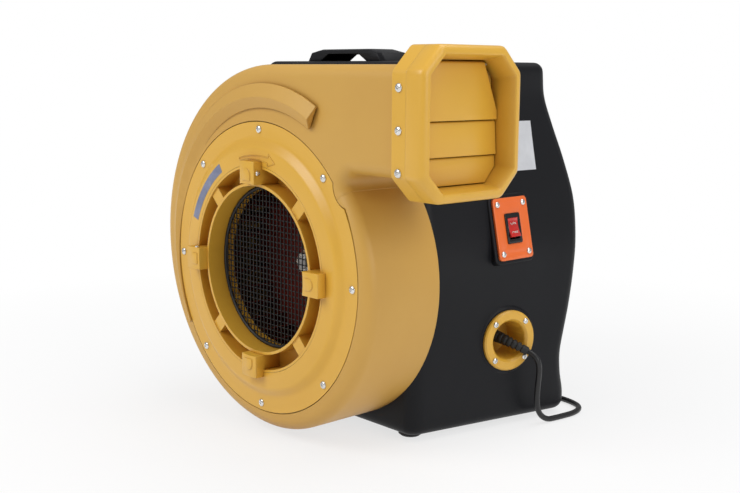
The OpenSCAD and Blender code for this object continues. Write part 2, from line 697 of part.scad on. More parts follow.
// Switch plate: place on the wall, draft of the wall, turn and lean in its own plane
plate_back = 144;
plate_up = 47;
plate_stand = 7.1;
plate_at_y = scroll_depth + plate_back;
plate_centre = [side_wall(plate_at_y, plate_up) + plate_stand, plate_at_y, plate_up];
plate_draft = 12;
plate_turn = 4;
plate_lean = 1;
plinth_rise = 4;
plinth_rim = 5;
plinth_root = 14;
plinth_corner_r = 9;
switch_plate_t = 3;
module at_switch() {
    translate(plate_centre) rotate([90, 0, 90 - plate_turn]) rotate([-plate_draft, 0, 0])
        rotate([0, 0, plate_lean]) children();
}

// Flat slab with round corners, centred, from z0 to z1
module round_slab(w, h, z0, z1, r) {
    translate([-w / 2 + r, -h / 2, z0]) cube([w - 2 * r, h, z1 - z0]);
    translate([-w / 2, -h / 2 + r, z0]) cube([w, h - 2 * r, z1 - z0]);
    for (x = [r - w / 2, w / 2 - r]) for (y = [r - h / 2, h / 2 - r])
        translate([x, y, z0]) cylinder(r = r, h = z1 - z0, $fn = 32);
}

// Cord grommet: place of its ring on the wall and its turn towards the front
grommet_back = 141;
grommet_down = 97;
grommet_stand = 7.1;
grommet_at_y = scroll_depth + grommet_back;
grommet_centre = [side_wall(grommet_at_y, -grommet_down) + grommet_stand, grommet_at_y, -grommet_down];
grommet_turn = 12;
grommet_ring_t = 5;
grommet_rise = 5;
grommet_root = 18;
grommet_wall = 2.5;
module at_grommet() {
    translate(grommet_centre) rotate([90, 0, 90 - grommet_turn]) children();
}

motor_opening_r = 100;
vent_count = 9;
vent_w = 96;
vent_h = 5;
vent_pitch = 11;
vent_z = -70;
opening_depth = 60;
pocket_inset = 8;
pocket_setback = 16;
pocket_side_gap = 5;
pocket_w = handle_top_w - 2 * pocket_inset;
pocket_y0 = scroll_depth + pocket_setback;
handle_y0 = pocket_y0 + pocket_side_gap;
pocket_y1 = handle_y0 + handle_d + pocket_side_gap;

module motor_housing() at_fan() color(black) difference() {
    union() {
        skin(housing_rings(0));
        at_switch() round_slab(plate_w + 2 * plinth_rim, plate_h + 2 * plinth_rim,
            -plinth_rise - plinth_root, -switch_plate_t, plinth_corner_r);
        at_grommet() translate([0, 0, -grommet_ring_t - grommet_root])
            cylinder(r = grommet_r + grommet_rise, h = grommet_root, $fn = 64);
    }
    difference() {
        skin(housing_rings(housing_wall));
        // pocket under the grip
        translate([-pocket_w / 2 - housing_wall, pocket_y0 - housing_wall, housing_top - pocket_depth - housing_wall])
            cube([pocket_w + 2 * housing_wall, pocket_y1 - pocket_y0 + 2 * housing_wall, pocket_depth + housing_wall]);
        // walls of the switch plinth and of the grommet boss
        at_switch() round_slab(plate_w + 2 * plinth_rim, plate_h + 2 * plinth_rim,
            -plinth_rise - plinth_root, -switch_plate_t, plinth_corner_r);
        at_grommet() translate([0, 0, -grommet_ring_t - grommet_root])
            cylinder(r = grommet_r + grommet_rise, h = grommet_root, $fn = 64);
    }
    translate([-pocket_w / 2, pocket_y0, housing_top - pocket_depth])
        cube([pocket_w, pocket_y1 - pocket_y0, pocket_depth + overrun]);
    // opening for the motor in the front wall
    to_back(0, scroll_depth - overrun, 0) cylinder(r = motor_opening_r, h = housing_wall + 2 * overrun);
    // openings for the switch and for the grommet's bowl
    at_switch() round_slab(switch_w + 2 * gap, switch_h + 2 * gap, -opening_depth, overrun, switch_corner_r);
    at_grommet() translate([0, 0, -opening_depth])
        cylinder(r = bowl_r + grommet_wall + gap, h = opening_depth, $fn = 64);
    for (p = join_places) {
        to_back(p[0], scroll_depth - overrun, p[1])
            cylinder(r = screw_shank_r + gap, h = housing_wall + 2 * overrun, $fn = 24);
        to_back(p[0], scroll_depth + housing_wall, p[1])
            cylinder(r = screw_head_r + gap, h = edge_round_r, $fn = 24);
    }
    at_switch() four(plate_screw_x, plate_screw_y) translate([0, 0, -switch_plate_t - plate_screw_embed])
        cylinder(r = plate_screw_shank, h = plate_screw_embed + overrun);
    at_grommet() for (turn = [45 : 90 : 315]) rotate(turn)
        translate([grommet_screw_r, 0, -grommet_ring_t - plate_screw_embed])
            cylinder(r = plate_screw_shank, h = plate_screw_embed + overrun);
    for (k = [0 : vent_count - 1]) translate([-vent_w / 2, scroll_depth + housing_d / 2, vent_z + k * vent_pitch])
        cube([vent_w, housing_d, vent_h]);
    for (x = foot_x) for (y = foot_y) translate([x, y, base_z - overrun])
        cylinder(r = foot_peg_r + gap, h = housing_wall + 2 * overrun, $fn = 32);
    for (side = [-1, 1]) translate([side * handle_screw_x, handle_mid_y, housing_top - 2 * housing_wall])
        cylinder(r = screw_shank_r + gap, h = 3 * housing_wall, $fn = 24);
}

// Feet: a rubber disc with a peg through the housing's floor
foot_peg_r = 6;
foot_peg_tip = 1;
foot_peg_top = foot_h + housing_wall + foot_peg_tip;
foot_x = [-housing_w * 0.31, housing_w * 0.31];
foot_y = [scroll_depth + housing_d * 0.09, scroll_depth + housing_d * 0.77];
module foot(x, y) at_fan() color([0.06, 0.06, 0.06]) translate([x, y, base_z - foot_h]) {
    rotate_extrude(convexity = 4) polygon([[0, 0], [foot_r * 0.8, 0], [foot_r, foot_h * 0.4],
        [foot_r, foot_h], [foot_peg_r, foot_h], [foot_peg_r, foot_peg_top], [0, foot_peg_top]]);
}
module foot_front_left() foot(foot_x[0], foot_y[0]);
module foot_front_right() foot(foot_x[1], foot_y[0]);
module foot_rear_left() foot(foot_x[0], foot_y[1]);
module foot_rear_right() foot(foot_x[1], foot_y[1]);

// Handle: a trapezoid bridge with a hand hole that slopes like its ends
grip_t = 6;
handle_mid_y = handle_y0 + handle_d / 2;
handle_screw_out = 1;
handle_screw_x = (handle_foot_w + pocket_w) / 4 + handle_screw_out;
hole_foot_w = pocket_w;
hole_slope = 15;
hole_top_w = pocket_w - 2 * hole_slope;
handle_soft = 5;
handle_bulge = 4;
handle_lip = 2;
handle_top_inset = 4;
function handle_level(z, half_w, inset) = let (x = half_w - inset, y0 = handle_y0 + inset,
        y1 = handle_y0 + handle_d - inset, c = handle_soft)
    [[x, y0 + c, z], [x, y1 - c, z], [x - c, y1, z], [c - x, y1, z],
        [-x, y1 - c, z], [-x, y0 + c, z], [c - x, y0, z], [x - c, y0, z]];
module carry_handle() at_fan() color(black) difference() {
    skin([
        handle_level(housing_top, handle_foot_w / 2, 0),
        handle_level(housing_top + handle_rise * 0.7, (handle_foot_w + handle_top_w) / 4 + handle_bulge, 0),
        handle_level(housing_top + handle_rise * 0.9, handle_top_w / 2 + handle_lip, handle_lip / 2),
        handle_level(housing_top + handle_rise, handle_top_w / 2, handle_top_inset)]);
    translate([0, handle_y0 - overrun, housing_top]) rotate([90, 0, 180])
        linear_extrude(handle_d + 2 * overrun) polygon([
            [-hole_foot_w / 2, -overrun], [hole_foot_w / 2, -overrun],
            [hole_foot_w / 2, 0], [hole_top_w / 2, handle_rise - grip_t],
            [-hole_top_w / 2, handle_rise - grip_t], [-hole_foot_w / 2, 0]]);
    for (side = [-1, 1]) translate([side * handle_screw_x, handle_mid_y, housing_top - overrun])
        cylinder(r = screw_shank_r, h = handle_screw_embed + overrun, $fn = 24);
}

handle_screw_embed = handle_rise / 2;
module handle_screws() at_fan() color(steel) for (side = [-1, 1])
    translate([side * handle_screw_x, handle_mid_y, housing_top - housing_wall]) rotate([180, 0, 0])
        pan_screw(housing_wall + handle_screw_embed);

// Switch plate with the switch through it
plate_corner_r = 5;
plate_screw_side = 7;
plate_screw_end = 8;
plate_screw_x = plate_w / 2 - plate_screw_side;
plate_screw_y = plate_h / 2 - plate_screw_end;
switch_corner_r = 2;
plate_screw_shank = 1.9;
plate_screw_head_r = 3.8;
plate_screw_head_h = 2.2;
plate_screw_embed = 6;
module four(x, y) {
    for (sx = [-1, 1]) for (sy = [-1, 1]) translate([sx * x, sy * y, 0]) children();
}
module switch_plate() at_fan() at_switch() color([0.92, 0.41, 0.16]) difference() {
    round_slab(plate_w, plate_h, -switch_plate_t, 0, plate_corner_r);
    round_slab(switch_w - 2 * switch_lip, switch_h - 2 * switch_lip, -switch_plate_t - overrun, overrun, switch_corner_r);
    four(plate_screw_x, plate_screw_y) translate([0, 0, -switch_plate_t - overrun])
        cylinder(r = plate_screw_shank + gap, h = switch_plate_t + 2 * overrun);
}
module plate_screws() at_fan() at_switch() color(steel) four(plate_screw_x, plate_screw_y)
    pan_screw(switch_plate_t + plate_screw_embed, plate_screw_head_r, plate_screw_head_h, plate_screw_shank);

// The switch sits behind the plate; its frame stands through the plate's opening
switch_lip = 2.5;
switch_frame_t = 2.5;
switch_body_depth = 24;
tab_len = 8;
rocker_w = 17;
rocker_h = 26;
rocker_pin_r = 1.5;
rocker_pin_z = -6;
rocker_r = 36;
module switch_body() at_fan() at_switch() color(black) difference() {
    union() {
        round_slab(switch_w - 2 * switch_lip - 2 * gap, switch_h - 2 * switch_lip - 2 * gap,
            -switch_plate_t - overrun, switch_frame_t / 2, switch_corner_r - gap);
        round_slab(switch_w, switch_h, -switch_body_depth, -switch_plate_t - gap / 2, switch_corner_r - gap);
        four(rocker_w / 4, rocker_h / 4) translate([-switch_frame_t, -switch_frame_t / 5, -switch_body_depth - tab_len])
            cube([2 * switch_frame_t, switch_frame_t * 2 / 5, tab_len + overrun]);
    }
    translate([-rocker_w / 2 - gap, -rocker_h / 2 - 2 * gap, rocker_pin_z - rocker_h / 2])
        cube([rocker_w + 2 * gap, rocker_h + 4 * gap, rocker_h]);
    translate([-rocker_w, 0, rocker_pin_z]) rotate([0, 90, 0])
        cylinder(r = rocker_pin_r + run_fit, h = 2 * rocker_w, $fn = 32);
}

// Rocker with a dished face, pressed at its upper end
module switch_rocker() at_fan() at_switch() color([0.80, 0.10, 0.08])
    translate([0, 0, rocker_pin_z]) rotate([-rocker_travel / 2, 0, 0]) {
        difference() {
            translate([-rocker_w / 2, -rocker_h / 2 + rocker_end_gap, -rocker_root])
                cube([rocker_w, rocker_h - 2 * rocker_end_gap, rocker_face + rocker_root]);
            translate([-rocker_w / 2 - overrun, 0, rocker_face + rocker_r - rocker_dish]) rotate([0, 90, 0])
                cylinder(r = rocker_r, h = rocker_w + 2 * overrun);
        }
        translate([-rocker_w / 2 - rocker_pin_len, 0, 0]) rotate([0, 90, 0])
            cylinder(r = rocker_pin_r, h = rocker_w + 2 * rocker_pin_len, $fn = 32);
    }
rocker_face = 9;
rocker_pin_len = 1.6;
rocker_end_gap = 1;
rocker_root = 2;
rocker_dish = 2;

grommet_screw_in = 6;
grommet_screw_r = grommet_r - grommet_screw_in;
bowl_taper = 4;
bowl_lip = 3;
grommet_edge = 2;
module cord_grommet() at_fan() at_grommet() color(yellow) difference() {
    rotate_extrude() polygon([
        [relief_root_r + gap, -bowl_depth], [bowl_r - bowl_taper, -bowl_depth], [bowl_r, -bowl_lip],
        [bowl_r + bowl_lip, 0], [grommet_r - grommet_edge, 0], [grommet_r, -grommet_edge],
        [grommet_r, -grommet_ring_t], [bowl_r + grommet_wall, -grommet_ring_t],
        [bowl_r - bowl_taper + grommet_wall, -bowl_depth - grommet_wall],
        [relief_root_r + gap, -bowl_depth - grommet_wall]]);
    for (turn = [45 : 90 : 315]) rotate(turn) translate([grommet_screw_r, 0, -grommet_ring_t - overrun])
        cylinder(r = plate_screw_shank + gap, h = grommet_ring_t + 2 * overrun);
}
module grommet_screws() at_fan() at_grommet() color(steel) for (turn = [45 : 90 : 315])
    rotate(turn) translate([grommet_screw_r, 0, 0])
        pan_screw(grommet_ring_t + plate_screw_embed, plate_screw_head_r, plate_screw_head_h, plate_screw_shank);

// Strain relief: a ribbed, tapered sleeve that leaves the bowl's floor and bends down
cord_r = cord_d / 2;
relief_root_r = 8.5;
relief_tip_wall = 1.6;
relief_tip_r = cord_r + relief_tip_wall;
relief_ribs = 8;
relief_rings = 4 * relief_ribs;
grommet_out = [cos(grommet_turn), -sin(grommet_turn), 0];
relief_inset = 3;
relief_reach = 30;
relief_start = grommet_centre - grommet_out * (bowl_depth + grommet_wall + relief_inset);
relief_end = [198, 274, -112];
relief_knee = relief_start + grommet_out * relief_reach;
function bend(a, b, c, t) = a * (1 - t) * (1 - t) + b * 2 * t * (1 - t) + c * t * t;
// A direction that no stretch of the cord runs along
aside = [1, 1, 1];
function unit(v) = v / norm(v);
function ring_about(centre, along, r, sides) = let (
        t = unit(along), u = unit(cross(aside, t)), v = cross(t, u))
    [for (k = [0 : sides - 1]) let (a = -360 * k / sides) centre + r * (u * cos(a) + v * sin(a))];
relief_sides = 12;
relief_groove = 1.6;
function relief_at(t) = bend(relief_start, relief_knee, relief_end, t);
module strain_relief() at_fan() color(black) skin([for (k = [0 : relief_rings]) let (
        t = k / relief_rings, low = (k % 4) > 1 && k < relief_rings - 3 ? relief_groove : 0,
        along = k == relief_rings ? cord_path[1] - cord_path[0] : relief_at(t + 0.01) - relief_at(t - 0.01))
    ring_about(relief_at(t), along, relief_root_r + (relief_tip_r - relief_root_r) * t - low, relief_sides)]);

// Route of the cord from the strain relief to the coil, from the fan axis
floor_z = -fan_h + cord_r;
cord_settle = 0.8;
cord_route = [
    [198, 274, -112], [205, 276, -115], [211, 278, -121], [213, 280, -131], [212, 281, -145],
    [210, 282, -160], [208, 284, -176], [207, 288, -190], [208, 295, -200], [210, 305, floor_z + cord_settle],
    [212, 318, floor_z], [214, 334, floor_z], [215, 350, floor_z], [212, 366, floor_z],
    [204, 379, floor_z], [190, 387, floor_z], [172, 391, floor_z], [150, 392, floor_z],
    [126, 391, floor_z], [104, 390, floor_z], [84, 390, floor_z], [70, 390, floor_z]];
cord_steps = 2;
cord_last = len(cord_route) - 1;
cord_path = [for (i = [0 : cord_last - 1]) for (h = [0 : cord_steps - 1]) blend(
    cord_route[max(i - 1, 0)], cord_route[i], cord_route[i + 1],
    cord_route[min(i + 2, cord_last)], h / cord_steps), cord_route[cord_last]];
cord_sides = 8;
function path_ring(path, k, r, sides) = ring_about(path[k],
    path[min(k + 1, len(path) - 1)] - path[max(k - 1, 0)], r, sides);
module tube(path, r, sides) {
    skin([for (k = [0 : len(path) - 1]) path_ring(path, k, r, sides)]);
}
module power_cord() at_fan() color([0.05, 0.05, 0.05]) tube(cord_path, cord_r, cord_sides);

// The coil: two layers, wound in and out again, with straight ends
coil_turns = 5;
coil_rings = 24;
coil_sides = 6;
coil_r = 48;
coil_space = 0.7;
coil_pitch = cord_d + coil_space;
coil_start = cord_route[cord_last];
coil_lead = cord_d;
coil_centre = [coil_start[0] - coil_lead, coil_start[1] + coil_r];
coil_tail = 54;
function wound(turn) = min(turn, coil_turns - turn);
function coil_point(turn) = let (
        a = -90 - 360 * turn, r = coil_r - coil_pitch * wound(turn),
        lift = step(min(max((turn - coil_turns / 2) * 2 + 0.5, 0), 1)))
    [coil_centre[0] + r * cos(a), coil_centre[1] + r * sin(a), floor_z + lift * coil_pitch];
// Plug: it lies on the floor at the end of the coil's tail
plug_r = 18.5;
plug_len = 42;
plug_neck_r = 6.5;
plug_edge = 1;
pin_r = 2.4;
pin_len = 19;
pin_space = 9.5;
plug_tilt = asin((plug_r * 0.98 - cord_r - coil_pitch) / plug_len);
plug_end = coil_point(coil_turns) - [coil_tail, 0, 0];
plug_along = [-cos(plug_tilt), 0, sin(plug_tilt)];
coil_path = concat(
    [coil_start],
    [for (k = [0 : coil_turns * coil_rings]) coil_point(k / coil_rings)],
    [coil_point(coil_turns) - [coil_lead, 0, 0], plug_end - coil_lead * plug_along, plug_end]);
module cord_coil() at_fan() color([0.05, 0.05, 0.05]) tube(coil_path, cord_r, coil_sides);
// Least gap of the coil to itself, and the lengths of the cord's two stretches
echo(coil_gap = min([for (i = [1 : coil_turns * coil_rings]) for (j = [i + coil_rings / 2 : coil_turns * coil_rings + 1])
    norm(coil_path[i] - coil_path[j])]) - cord_d);
function path_len(path, k = 0) = k >= len(path) - 1 ? 0 : norm(path[k + 1] - path[k]) + path_len(path, k + 1);
echo(cord_len = path_len(cord_path), coil_len = path_len(coil_path));

module cord_plug() at_fan() translate(plug_end) rotate([0, -90 + plug_tilt, 0]) {
    color([0.06, 0.06, 0.06]) rotate_extrude($fn = 48) polygon([
        [0, 0], [plug_neck_r - plug_edge, 0], [plug_neck_r, 2 * plug_edge], [plug_neck_r, plug_len * 0.3],
        [plug_r - 5 * plug_edge, plug_len * 0.55], [plug_r - 2 * plug_edge, plug_len * 0.8],
        [plug_r - plug_edge, plug_len], [0, plug_len]]);
    color(steel) for (side = [-1, 1]) translate([0, side * pin_space, plug_len - overrun])
        rotate_extrude($fn = 24) polygon([[0, 0], [pin_r, 0], [pin_r, pin_len], [pin_r / 2, pin_len + pin_r / 2],
            [0, pin_len + pin_r / 2]]);
}

// Impeller: a back disc, a front ring and forward-curved blades
impeller_front_gap = 3;
impeller_back_gap = 9;
impeller_y0 = bell_y + impeller_front_gap;
impeller_y1 = plate_y - impeller_back_gap;
impeller_disc_t = 3;
blade_t = 1.8;
blade_depth = 27;
blade_in_r = impeller_r - blade_depth;
blade_r = 24;
blade_arc = 66;
hub_r = 22;
hub_len = 27;
hub_gap = 3;
hub_y1 = plate_y - hub_gap;
hub_y0 = hub_y1 - hub_len;
module impeller() at_fan() color([0.35, 0.08, 0.06]) difference() {
    union() {
        to_back(0, impeller_y1 - impeller_disc_t, 0) cylinder(r = impeller_r, h = impeller_disc_t, $fn = 180);
        to_back(0, hub_y0, 0) cylinder(r = hub_r, h = hub_y1 - hub_y0);
        to_back(0, impeller_y0, 0) difference() {
            cylinder(r = impeller_r, h = impeller_disc_t, $fn = 180);
            translate([0, 0, -overrun]) cylinder(r = blade_in_r, h = impeller_disc_t + 2 * overrun, $fn = 180);
        }
        to_back(0, impeller_y0, 0) for (k = [0 : blades - 1]) rotate(k * 360 / blades)
            translate([(impeller_r + blade_in_r) / 2, -blade_r * 0.86, impeller_disc_t / 2])
                rotate_extrude(angle = blade_arc, start = 90 - blade_arc / 2 - 4)
                    translate([blade_r - blade_t, 0]) square([blade_t, impeller_y1 - impeller_y0 - impeller_disc_t]);
    }
    to_back(0, hub_y0 - overrun, 0) cylinder(r = shaft_r + run_fit, h = plate_y);
}

nut_r = 14;
nut_t = 9;
washer_t = 2;
washer_lip = 3;
shaft_tip = 3;
module impeller_nut() at_fan() color(steel) to_back(0, hub_y0 - washer_t - nut_t, 0) difference() {
    union() {
        cylinder(r = nut_r, h = nut_t, $fn = 6);
        translate([0, 0, nut_t]) cylinder(r = nut_r + washer_lip, h = washer_t);
    }
    translate([0, 0, -overrun]) cylinder(r = shaft_r + run_fit, h = nut_t + washer_t + 2 * overrun);
}

// Motor, from the plate to the rear
shield_y0 = scroll_depth;
shield_wall = 8;
shield_depth = 30;
shield_end_t = 5;
stator_y0 = shield_y0 + shield_depth;
stator_y1 = stator_y0 + stator_len;
rear_y1 = stator_y1 + shield_depth;
bearing_r = 20;
bearing_t = 12;
bearing_lip = 6;
seal_drop = 1;
race_t = 3.5;
bolt_sink = 1;
rotor_r = stator_r * 0.57;
rotor_ring_t = 6;
air_gap = 0.6;
shaft_clear = 3;
motor_screw_circle = 58;
motor_screw_r = 3;
bolt_r = 2.5;
bolt_circle = stator_r + 4;
fan_gap = 6;
fan_y0 = rear_y1 + fan_gap;
fan_len = 16;
shaft_y0 = hub_y0 - washer_t - nut_t - shaft_tip;

module motor_shaft() at_fan() color(steel) to_back(0, shaft_y0, 0)
    cylinder(r = shaft_r, h = fan_y0 + fan_len - shaft_y0);

module rotor_core() at_fan() color([0.55, 0.55, 0.57]) to_back(0, stator_y0, 0) difference() {
    union() {
        cylinder(r = rotor_r, h = stator_len);
        for (z = [-rotor_ring_t, stator_len]) translate([0, 0, z])
            cylinder(r = rotor_r - rotor_ring_t, h = rotor_ring_t);
    }
    translate([0, 0, -rotor_ring_t - overrun])
        cylinder(r = shaft_r + run_fit, h = stator_len + 2 * rotor_ring_t + 2 * overrun);
}

module stator_core() at_fan() color([0.45, 0.46, 0.48]) to_back(0, stator_y0, 0) difference() {
    cylinder(r = stator_r, h = stator_len);
    translate([0, 0, -overrun]) cylinder(r = rotor_r + air_gap, h = stator_len + 2 * overrun);
}

winding_len = 15;
winding_inset = 4;
module stator_windings() at_fan() color([0.72, 0.40, 0.18])
    for (y = [stator_y0 - winding_len, stator_y1]) to_back(0, y, 0) rotate_extrude()
        translate([rotor_r + winding_inset, 0]) square([stator_r - rotor_r - 3 * winding_inset, winding_len]);

// End shield, drawn from its end wall towards the stator
module shield(hole_r) {
    difference() {
        rotate_extrude() polygon([
            [hole_r, 0], [stator_r + shield_wall, 0], [stator_r + shield_wall, shield_depth],
            [stator_r - shield_wall / 2, shield_depth], [stator_r - shield_wall / 2, shield_end_t],
            [bearing_r + bearing_lip, shield_end_t], [bearing_r + bearing_lip, shield_end_t + bearing_t],
            [bearing_r + run_fit, shield_end_t + bearing_t], [bearing_r + run_fit, shield_end_t], [hole_r, shield_end_t]]);
        around_z(4, bolt_circle, 0) translate([0, 0, -overrun]) cylinder(r = bolt_r + gap, h = shield_depth + 2 * overrun);
        around_z(4, motor_screw_circle, 45) translate([0, 0, -overrun])
            cylinder(r = motor_screw_r, h = shield_end_t + 2 * overrun);
    }
}
module around_z(count, r, first) {
    for (k = [0 : count - 1]) rotate(first + k * 360 / count) translate([r, 0, 0]) children();
}
module front_end_shield() at_fan() color([0.62, 0.64, 0.66]) to_back(0, shield_y0, 0) shield(shaft_r + shaft_clear);
module rear_end_shield() at_fan() color([0.62, 0.64, 0.66]) translate([0, rear_y1, 0]) to_front() shield(shaft_r + shaft_clear);

module bearing() {
    difference() {
        cylinder(r = bearing_r, h = bearing_t);
        translate([0, 0, -overrun]) cylinder(r = shaft_r + run_fit, h = bearing_t + 2 * overrun);
        for (z = [-seal_drop, bearing_t - seal_drop]) translate([0, 0, z]) difference() {
            cylinder(r = bearing_r - race_t, h = 2 * seal_drop);
            translate([0, 0, -overrun]) cylinder(r = shaft_r + race_t, h = 2 * seal_drop + 2 * overrun);
        }
    }
}
module front_bearing() at_fan() color(steel) to_back(0, shield_y0 + shield_end_t, 0) bearing();
module rear_bearing() at_fan() color(steel) translate([0, rear_y1 - shield_end_t, 0]) to_front() bearing();

module motor_bolts() at_fan() color(steel) to_back(0, shield_y0 + bolt_sink, 0) around_z(4, bolt_circle, 0) {
    cylinder(r = bolt_r, h = rear_y1 - shield_y0 - bolt_sink);
    translate([0, 0, rear_y1 - shield_y0 - bolt_sink]) cylinder(r = 2 * bolt_r, h = 2 * bolt_r, $fn = 6);
}
module motor_screws() at_fan() color(steel) around(4, motor_screw_circle, 45) {
    to_back(0, plate_y, 0) cylinder(r = motor_screw_r, h = plate_t + shield_end_t);
    to_back(0, plate_y - motor_screw_r, 0) cylinder(r = 2 * motor_screw_r, h = motor_screw_r, $fn = 6);
}

fan_blades = 8;
fan_hub_t = 7;
fan_blade_t = 2;
fan_r = stator_r * 0.75;
module cooling_fan() at_fan() color([0.2, 0.2, 0.22]) to_back(0, fan_y0, 0) difference() {
    union() {
        cylinder(r = shaft_r + fan_hub_t, h = fan_len);
        cylinder(r = fan_r, h = fan_blade_t);
        around_z(fan_blades, 0, 0) translate([shaft_r + fan_hub_t / 2, -fan_blade_t / 2, fan_blade_t / 2])
            cube([fan_r - shaft_r - fan_hub_t, fan_blade_t, fan_len - fan_blade_t]);
    }
    translate([0, 0, -overrun]) cylinder(r = shaft_r + run_fit, h = fan_len + 2 * overrun);
}

// Capacitor and terminal block on the housing's floor
inner_floor = base_z + housing_wall;
cap_r = 22;
cap_len = 78;
cap_x = -95;
cap_back = 40;
cap_y = scroll_depth + cap_back;
cap_lid_h = 4;
cap_tab = [6, 1, 9];
clamp_t = 2.5;
clamp_w = 22;
clamp_foot = 18;
module run_capacitor() at_fan() color([0.85, 0.85, 0.83]) to_back(cap_x, cap_y, inner_floor + cap_r + clamp_t) {
    cylinder(r = cap_r, h = cap_len);
    translate([0, 0, cap_len]) cylinder(r = cap_r * 0.7, h = cap_lid_h);
    for (side = [-1, 1]) translate([side * cap_r / 3 - cap_tab[0] / 2, -cap_tab[1] / 2, cap_len + cap_lid_h / 2])
        cube(cap_tab);
}
module capacitor_clamp() at_fan() color(steel) {
    to_back(cap_x, cap_y + cap_len / 2 - clamp_w / 2, inner_floor + cap_r + clamp_t) difference() {
        cylinder(r = cap_r + clamp_t, h = clamp_w);
        translate([0, 0, -overrun]) cylinder(r = cap_r, h = clamp_w + 2 * overrun);
    }
    translate([cap_x - cap_r - clamp_foot, cap_y + cap_len / 2 - clamp_w / 2, inner_floor])
        cube([2 * (cap_r + clamp_foot), clamp_w, clamp_t]);
}
terminal_size = [26, 66, 18];
terminal_place = [100, 60];
terminal_hole_r = 3;
terminal_ways = 5;
module terminal_block() at_fan() color([0.88, 0.88, 0.85]) translate([terminal_place[0], scroll_depth + terminal_place[1], inner_floor])
    difference() {
    cube(terminal_size);
    for (k = [0 : terminal_ways - 1]) translate([terminal_size[0] / 2, (k + 0.5) * terminal_size[1] / terminal_ways, terminal_size[2] / 2])
        cylinder(r = terminal_hole_r, h = terminal_size[2], $fn = 24);
}

scroll_housing();
scroll_back_plate();
housing_screws();
inlet_cover();
cover_screws();
inlet_collar();
inlet_lugs();
lug_screws();
inlet_guard();
outlet_collar();
collar_screws();
outlet_bezel();
flap_upper();
flap_middle();
flap_lower();
flap_pins();
motor_housing();
foot_front_left();
foot_front_right();
foot_rear_left();
foot_rear_right();
carry_handle();
handle_screws();
switch_plate();
plate_screws();
switch_body();
switch_rocker();
cord_grommet();
grommet_screws();
strain_relief();
power_cord();
cord_coil();
cord_plug();
impeller();
impeller_nut();
motor_shaft();
rotor_core();
stator_core();
stator_windings();
front_end_shield();
rear_end_shield();
front_bearing();
rear_bearing();
motor_bolts();
motor_screws();
cooling_fan();
run_capacitor();
capacitor_clamp();
terminal_block();
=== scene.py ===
import bpy, bmesh, json, math
from mathutils import Matrix, Vector

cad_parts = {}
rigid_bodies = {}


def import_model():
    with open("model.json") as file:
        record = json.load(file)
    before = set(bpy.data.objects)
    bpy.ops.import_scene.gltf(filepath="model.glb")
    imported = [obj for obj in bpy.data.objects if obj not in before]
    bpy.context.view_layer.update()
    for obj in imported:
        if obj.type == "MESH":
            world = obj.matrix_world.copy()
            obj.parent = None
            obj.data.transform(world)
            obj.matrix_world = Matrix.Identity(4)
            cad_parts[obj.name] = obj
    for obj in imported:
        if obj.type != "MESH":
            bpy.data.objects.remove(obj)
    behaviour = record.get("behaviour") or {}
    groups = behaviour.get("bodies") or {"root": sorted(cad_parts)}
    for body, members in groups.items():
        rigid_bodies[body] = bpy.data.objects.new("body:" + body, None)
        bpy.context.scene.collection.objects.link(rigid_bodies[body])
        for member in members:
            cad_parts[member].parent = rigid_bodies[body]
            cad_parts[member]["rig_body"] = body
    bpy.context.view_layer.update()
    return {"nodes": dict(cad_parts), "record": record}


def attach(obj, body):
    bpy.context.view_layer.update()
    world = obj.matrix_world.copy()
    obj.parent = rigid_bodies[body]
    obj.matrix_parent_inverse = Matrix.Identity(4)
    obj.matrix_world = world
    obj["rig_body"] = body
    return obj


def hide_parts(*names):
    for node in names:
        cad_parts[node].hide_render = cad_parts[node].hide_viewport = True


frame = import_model()
nodes = frame["nodes"]
scene = bpy.context.scene
scene.view_settings.view_transform = "Standard"


# The drawing's own frame has its origin on the fan axis, at the scroll's front, in millimetres
def fromFan(x, y, z):
    return Vector((x - 41.25, y - 186.7, z + 210)) / 1000


def srgb(r, g, b):
    def linear(c):
        c = c / 255
        return c / 12.92 if c <= 0.04045 else ((c + 0.055) / 1.055) ** 2.4
    return (linear(r), linear(g), linear(b), 1)


cameraView = {"azimuth": 47.6, "pitch": 9.3, "roll": 0.374, "lens": 52.19,
              "place": (1.00309, -0.95880, 0.45002)}


def addCamera(v):
    a, e = math.radians(v["azimuth"]), math.radians(v["pitch"])
    back = Vector((math.sin(a) * math.cos(e), -math.cos(a) * math.cos(e), math.sin(e)))
    right = Vector((math.cos(a), math.sin(a), 0))
    turn = Matrix((right, back.cross(right), back)).transposed()
    data = bpy.data.cameras.new("camera")
    data.lens, data.sensor_width, data.clip_start = v["lens"], 36, 0.01
    camera = bpy.data.objects.new("camera", data)
    scene.collection.objects.link(camera)
    roll = Matrix.Rotation(math.radians(v["roll"]), 3, "Z")
    camera.matrix_world = Matrix.Translation(v["place"]) @ (turn @ roll).to_4x4()
    scene.camera = camera


addCamera(cameraView)
print("camera placed")


# Shader groups that several finishes share
def newGroup(name, inputs, outputs):
    group = bpy.data.node_groups.new(name, "ShaderNodeTree")
    for title, kind, value in inputs:
        socket = group.interface.new_socket(title, in_out="INPUT", socket_type=kind)
        if value is not None:
            socket.default_value = value
    for title, kind in outputs:
        group.interface.new_socket(title, in_out="OUTPUT", socket_type=kind)
    return group, group.nodes.new("NodeGroupInput"), group.nodes.new("NodeGroupOutput")


def addNode(tree, kind, inputs=None, **settings):
    node = tree.nodes.new(kind)
    for key, value in settings.items():
        setattr(node, key, value)
    for key, value in (inputs or {}).items():
        if isinstance(value, bpy.types.NodeSocket):
            tree.links.new(value, node.inputs[key])
        else:
            node.inputs[key].default_value = value
    return node


def mathNode(tree, operation, a, b=None, clamp=False):
    inputs = {0: a} if b is None else {0: a, 1: b}
    return addNode(tree, "ShaderNodeMath", inputs, operation=operation, use_clamp=clamp).outputs[0]


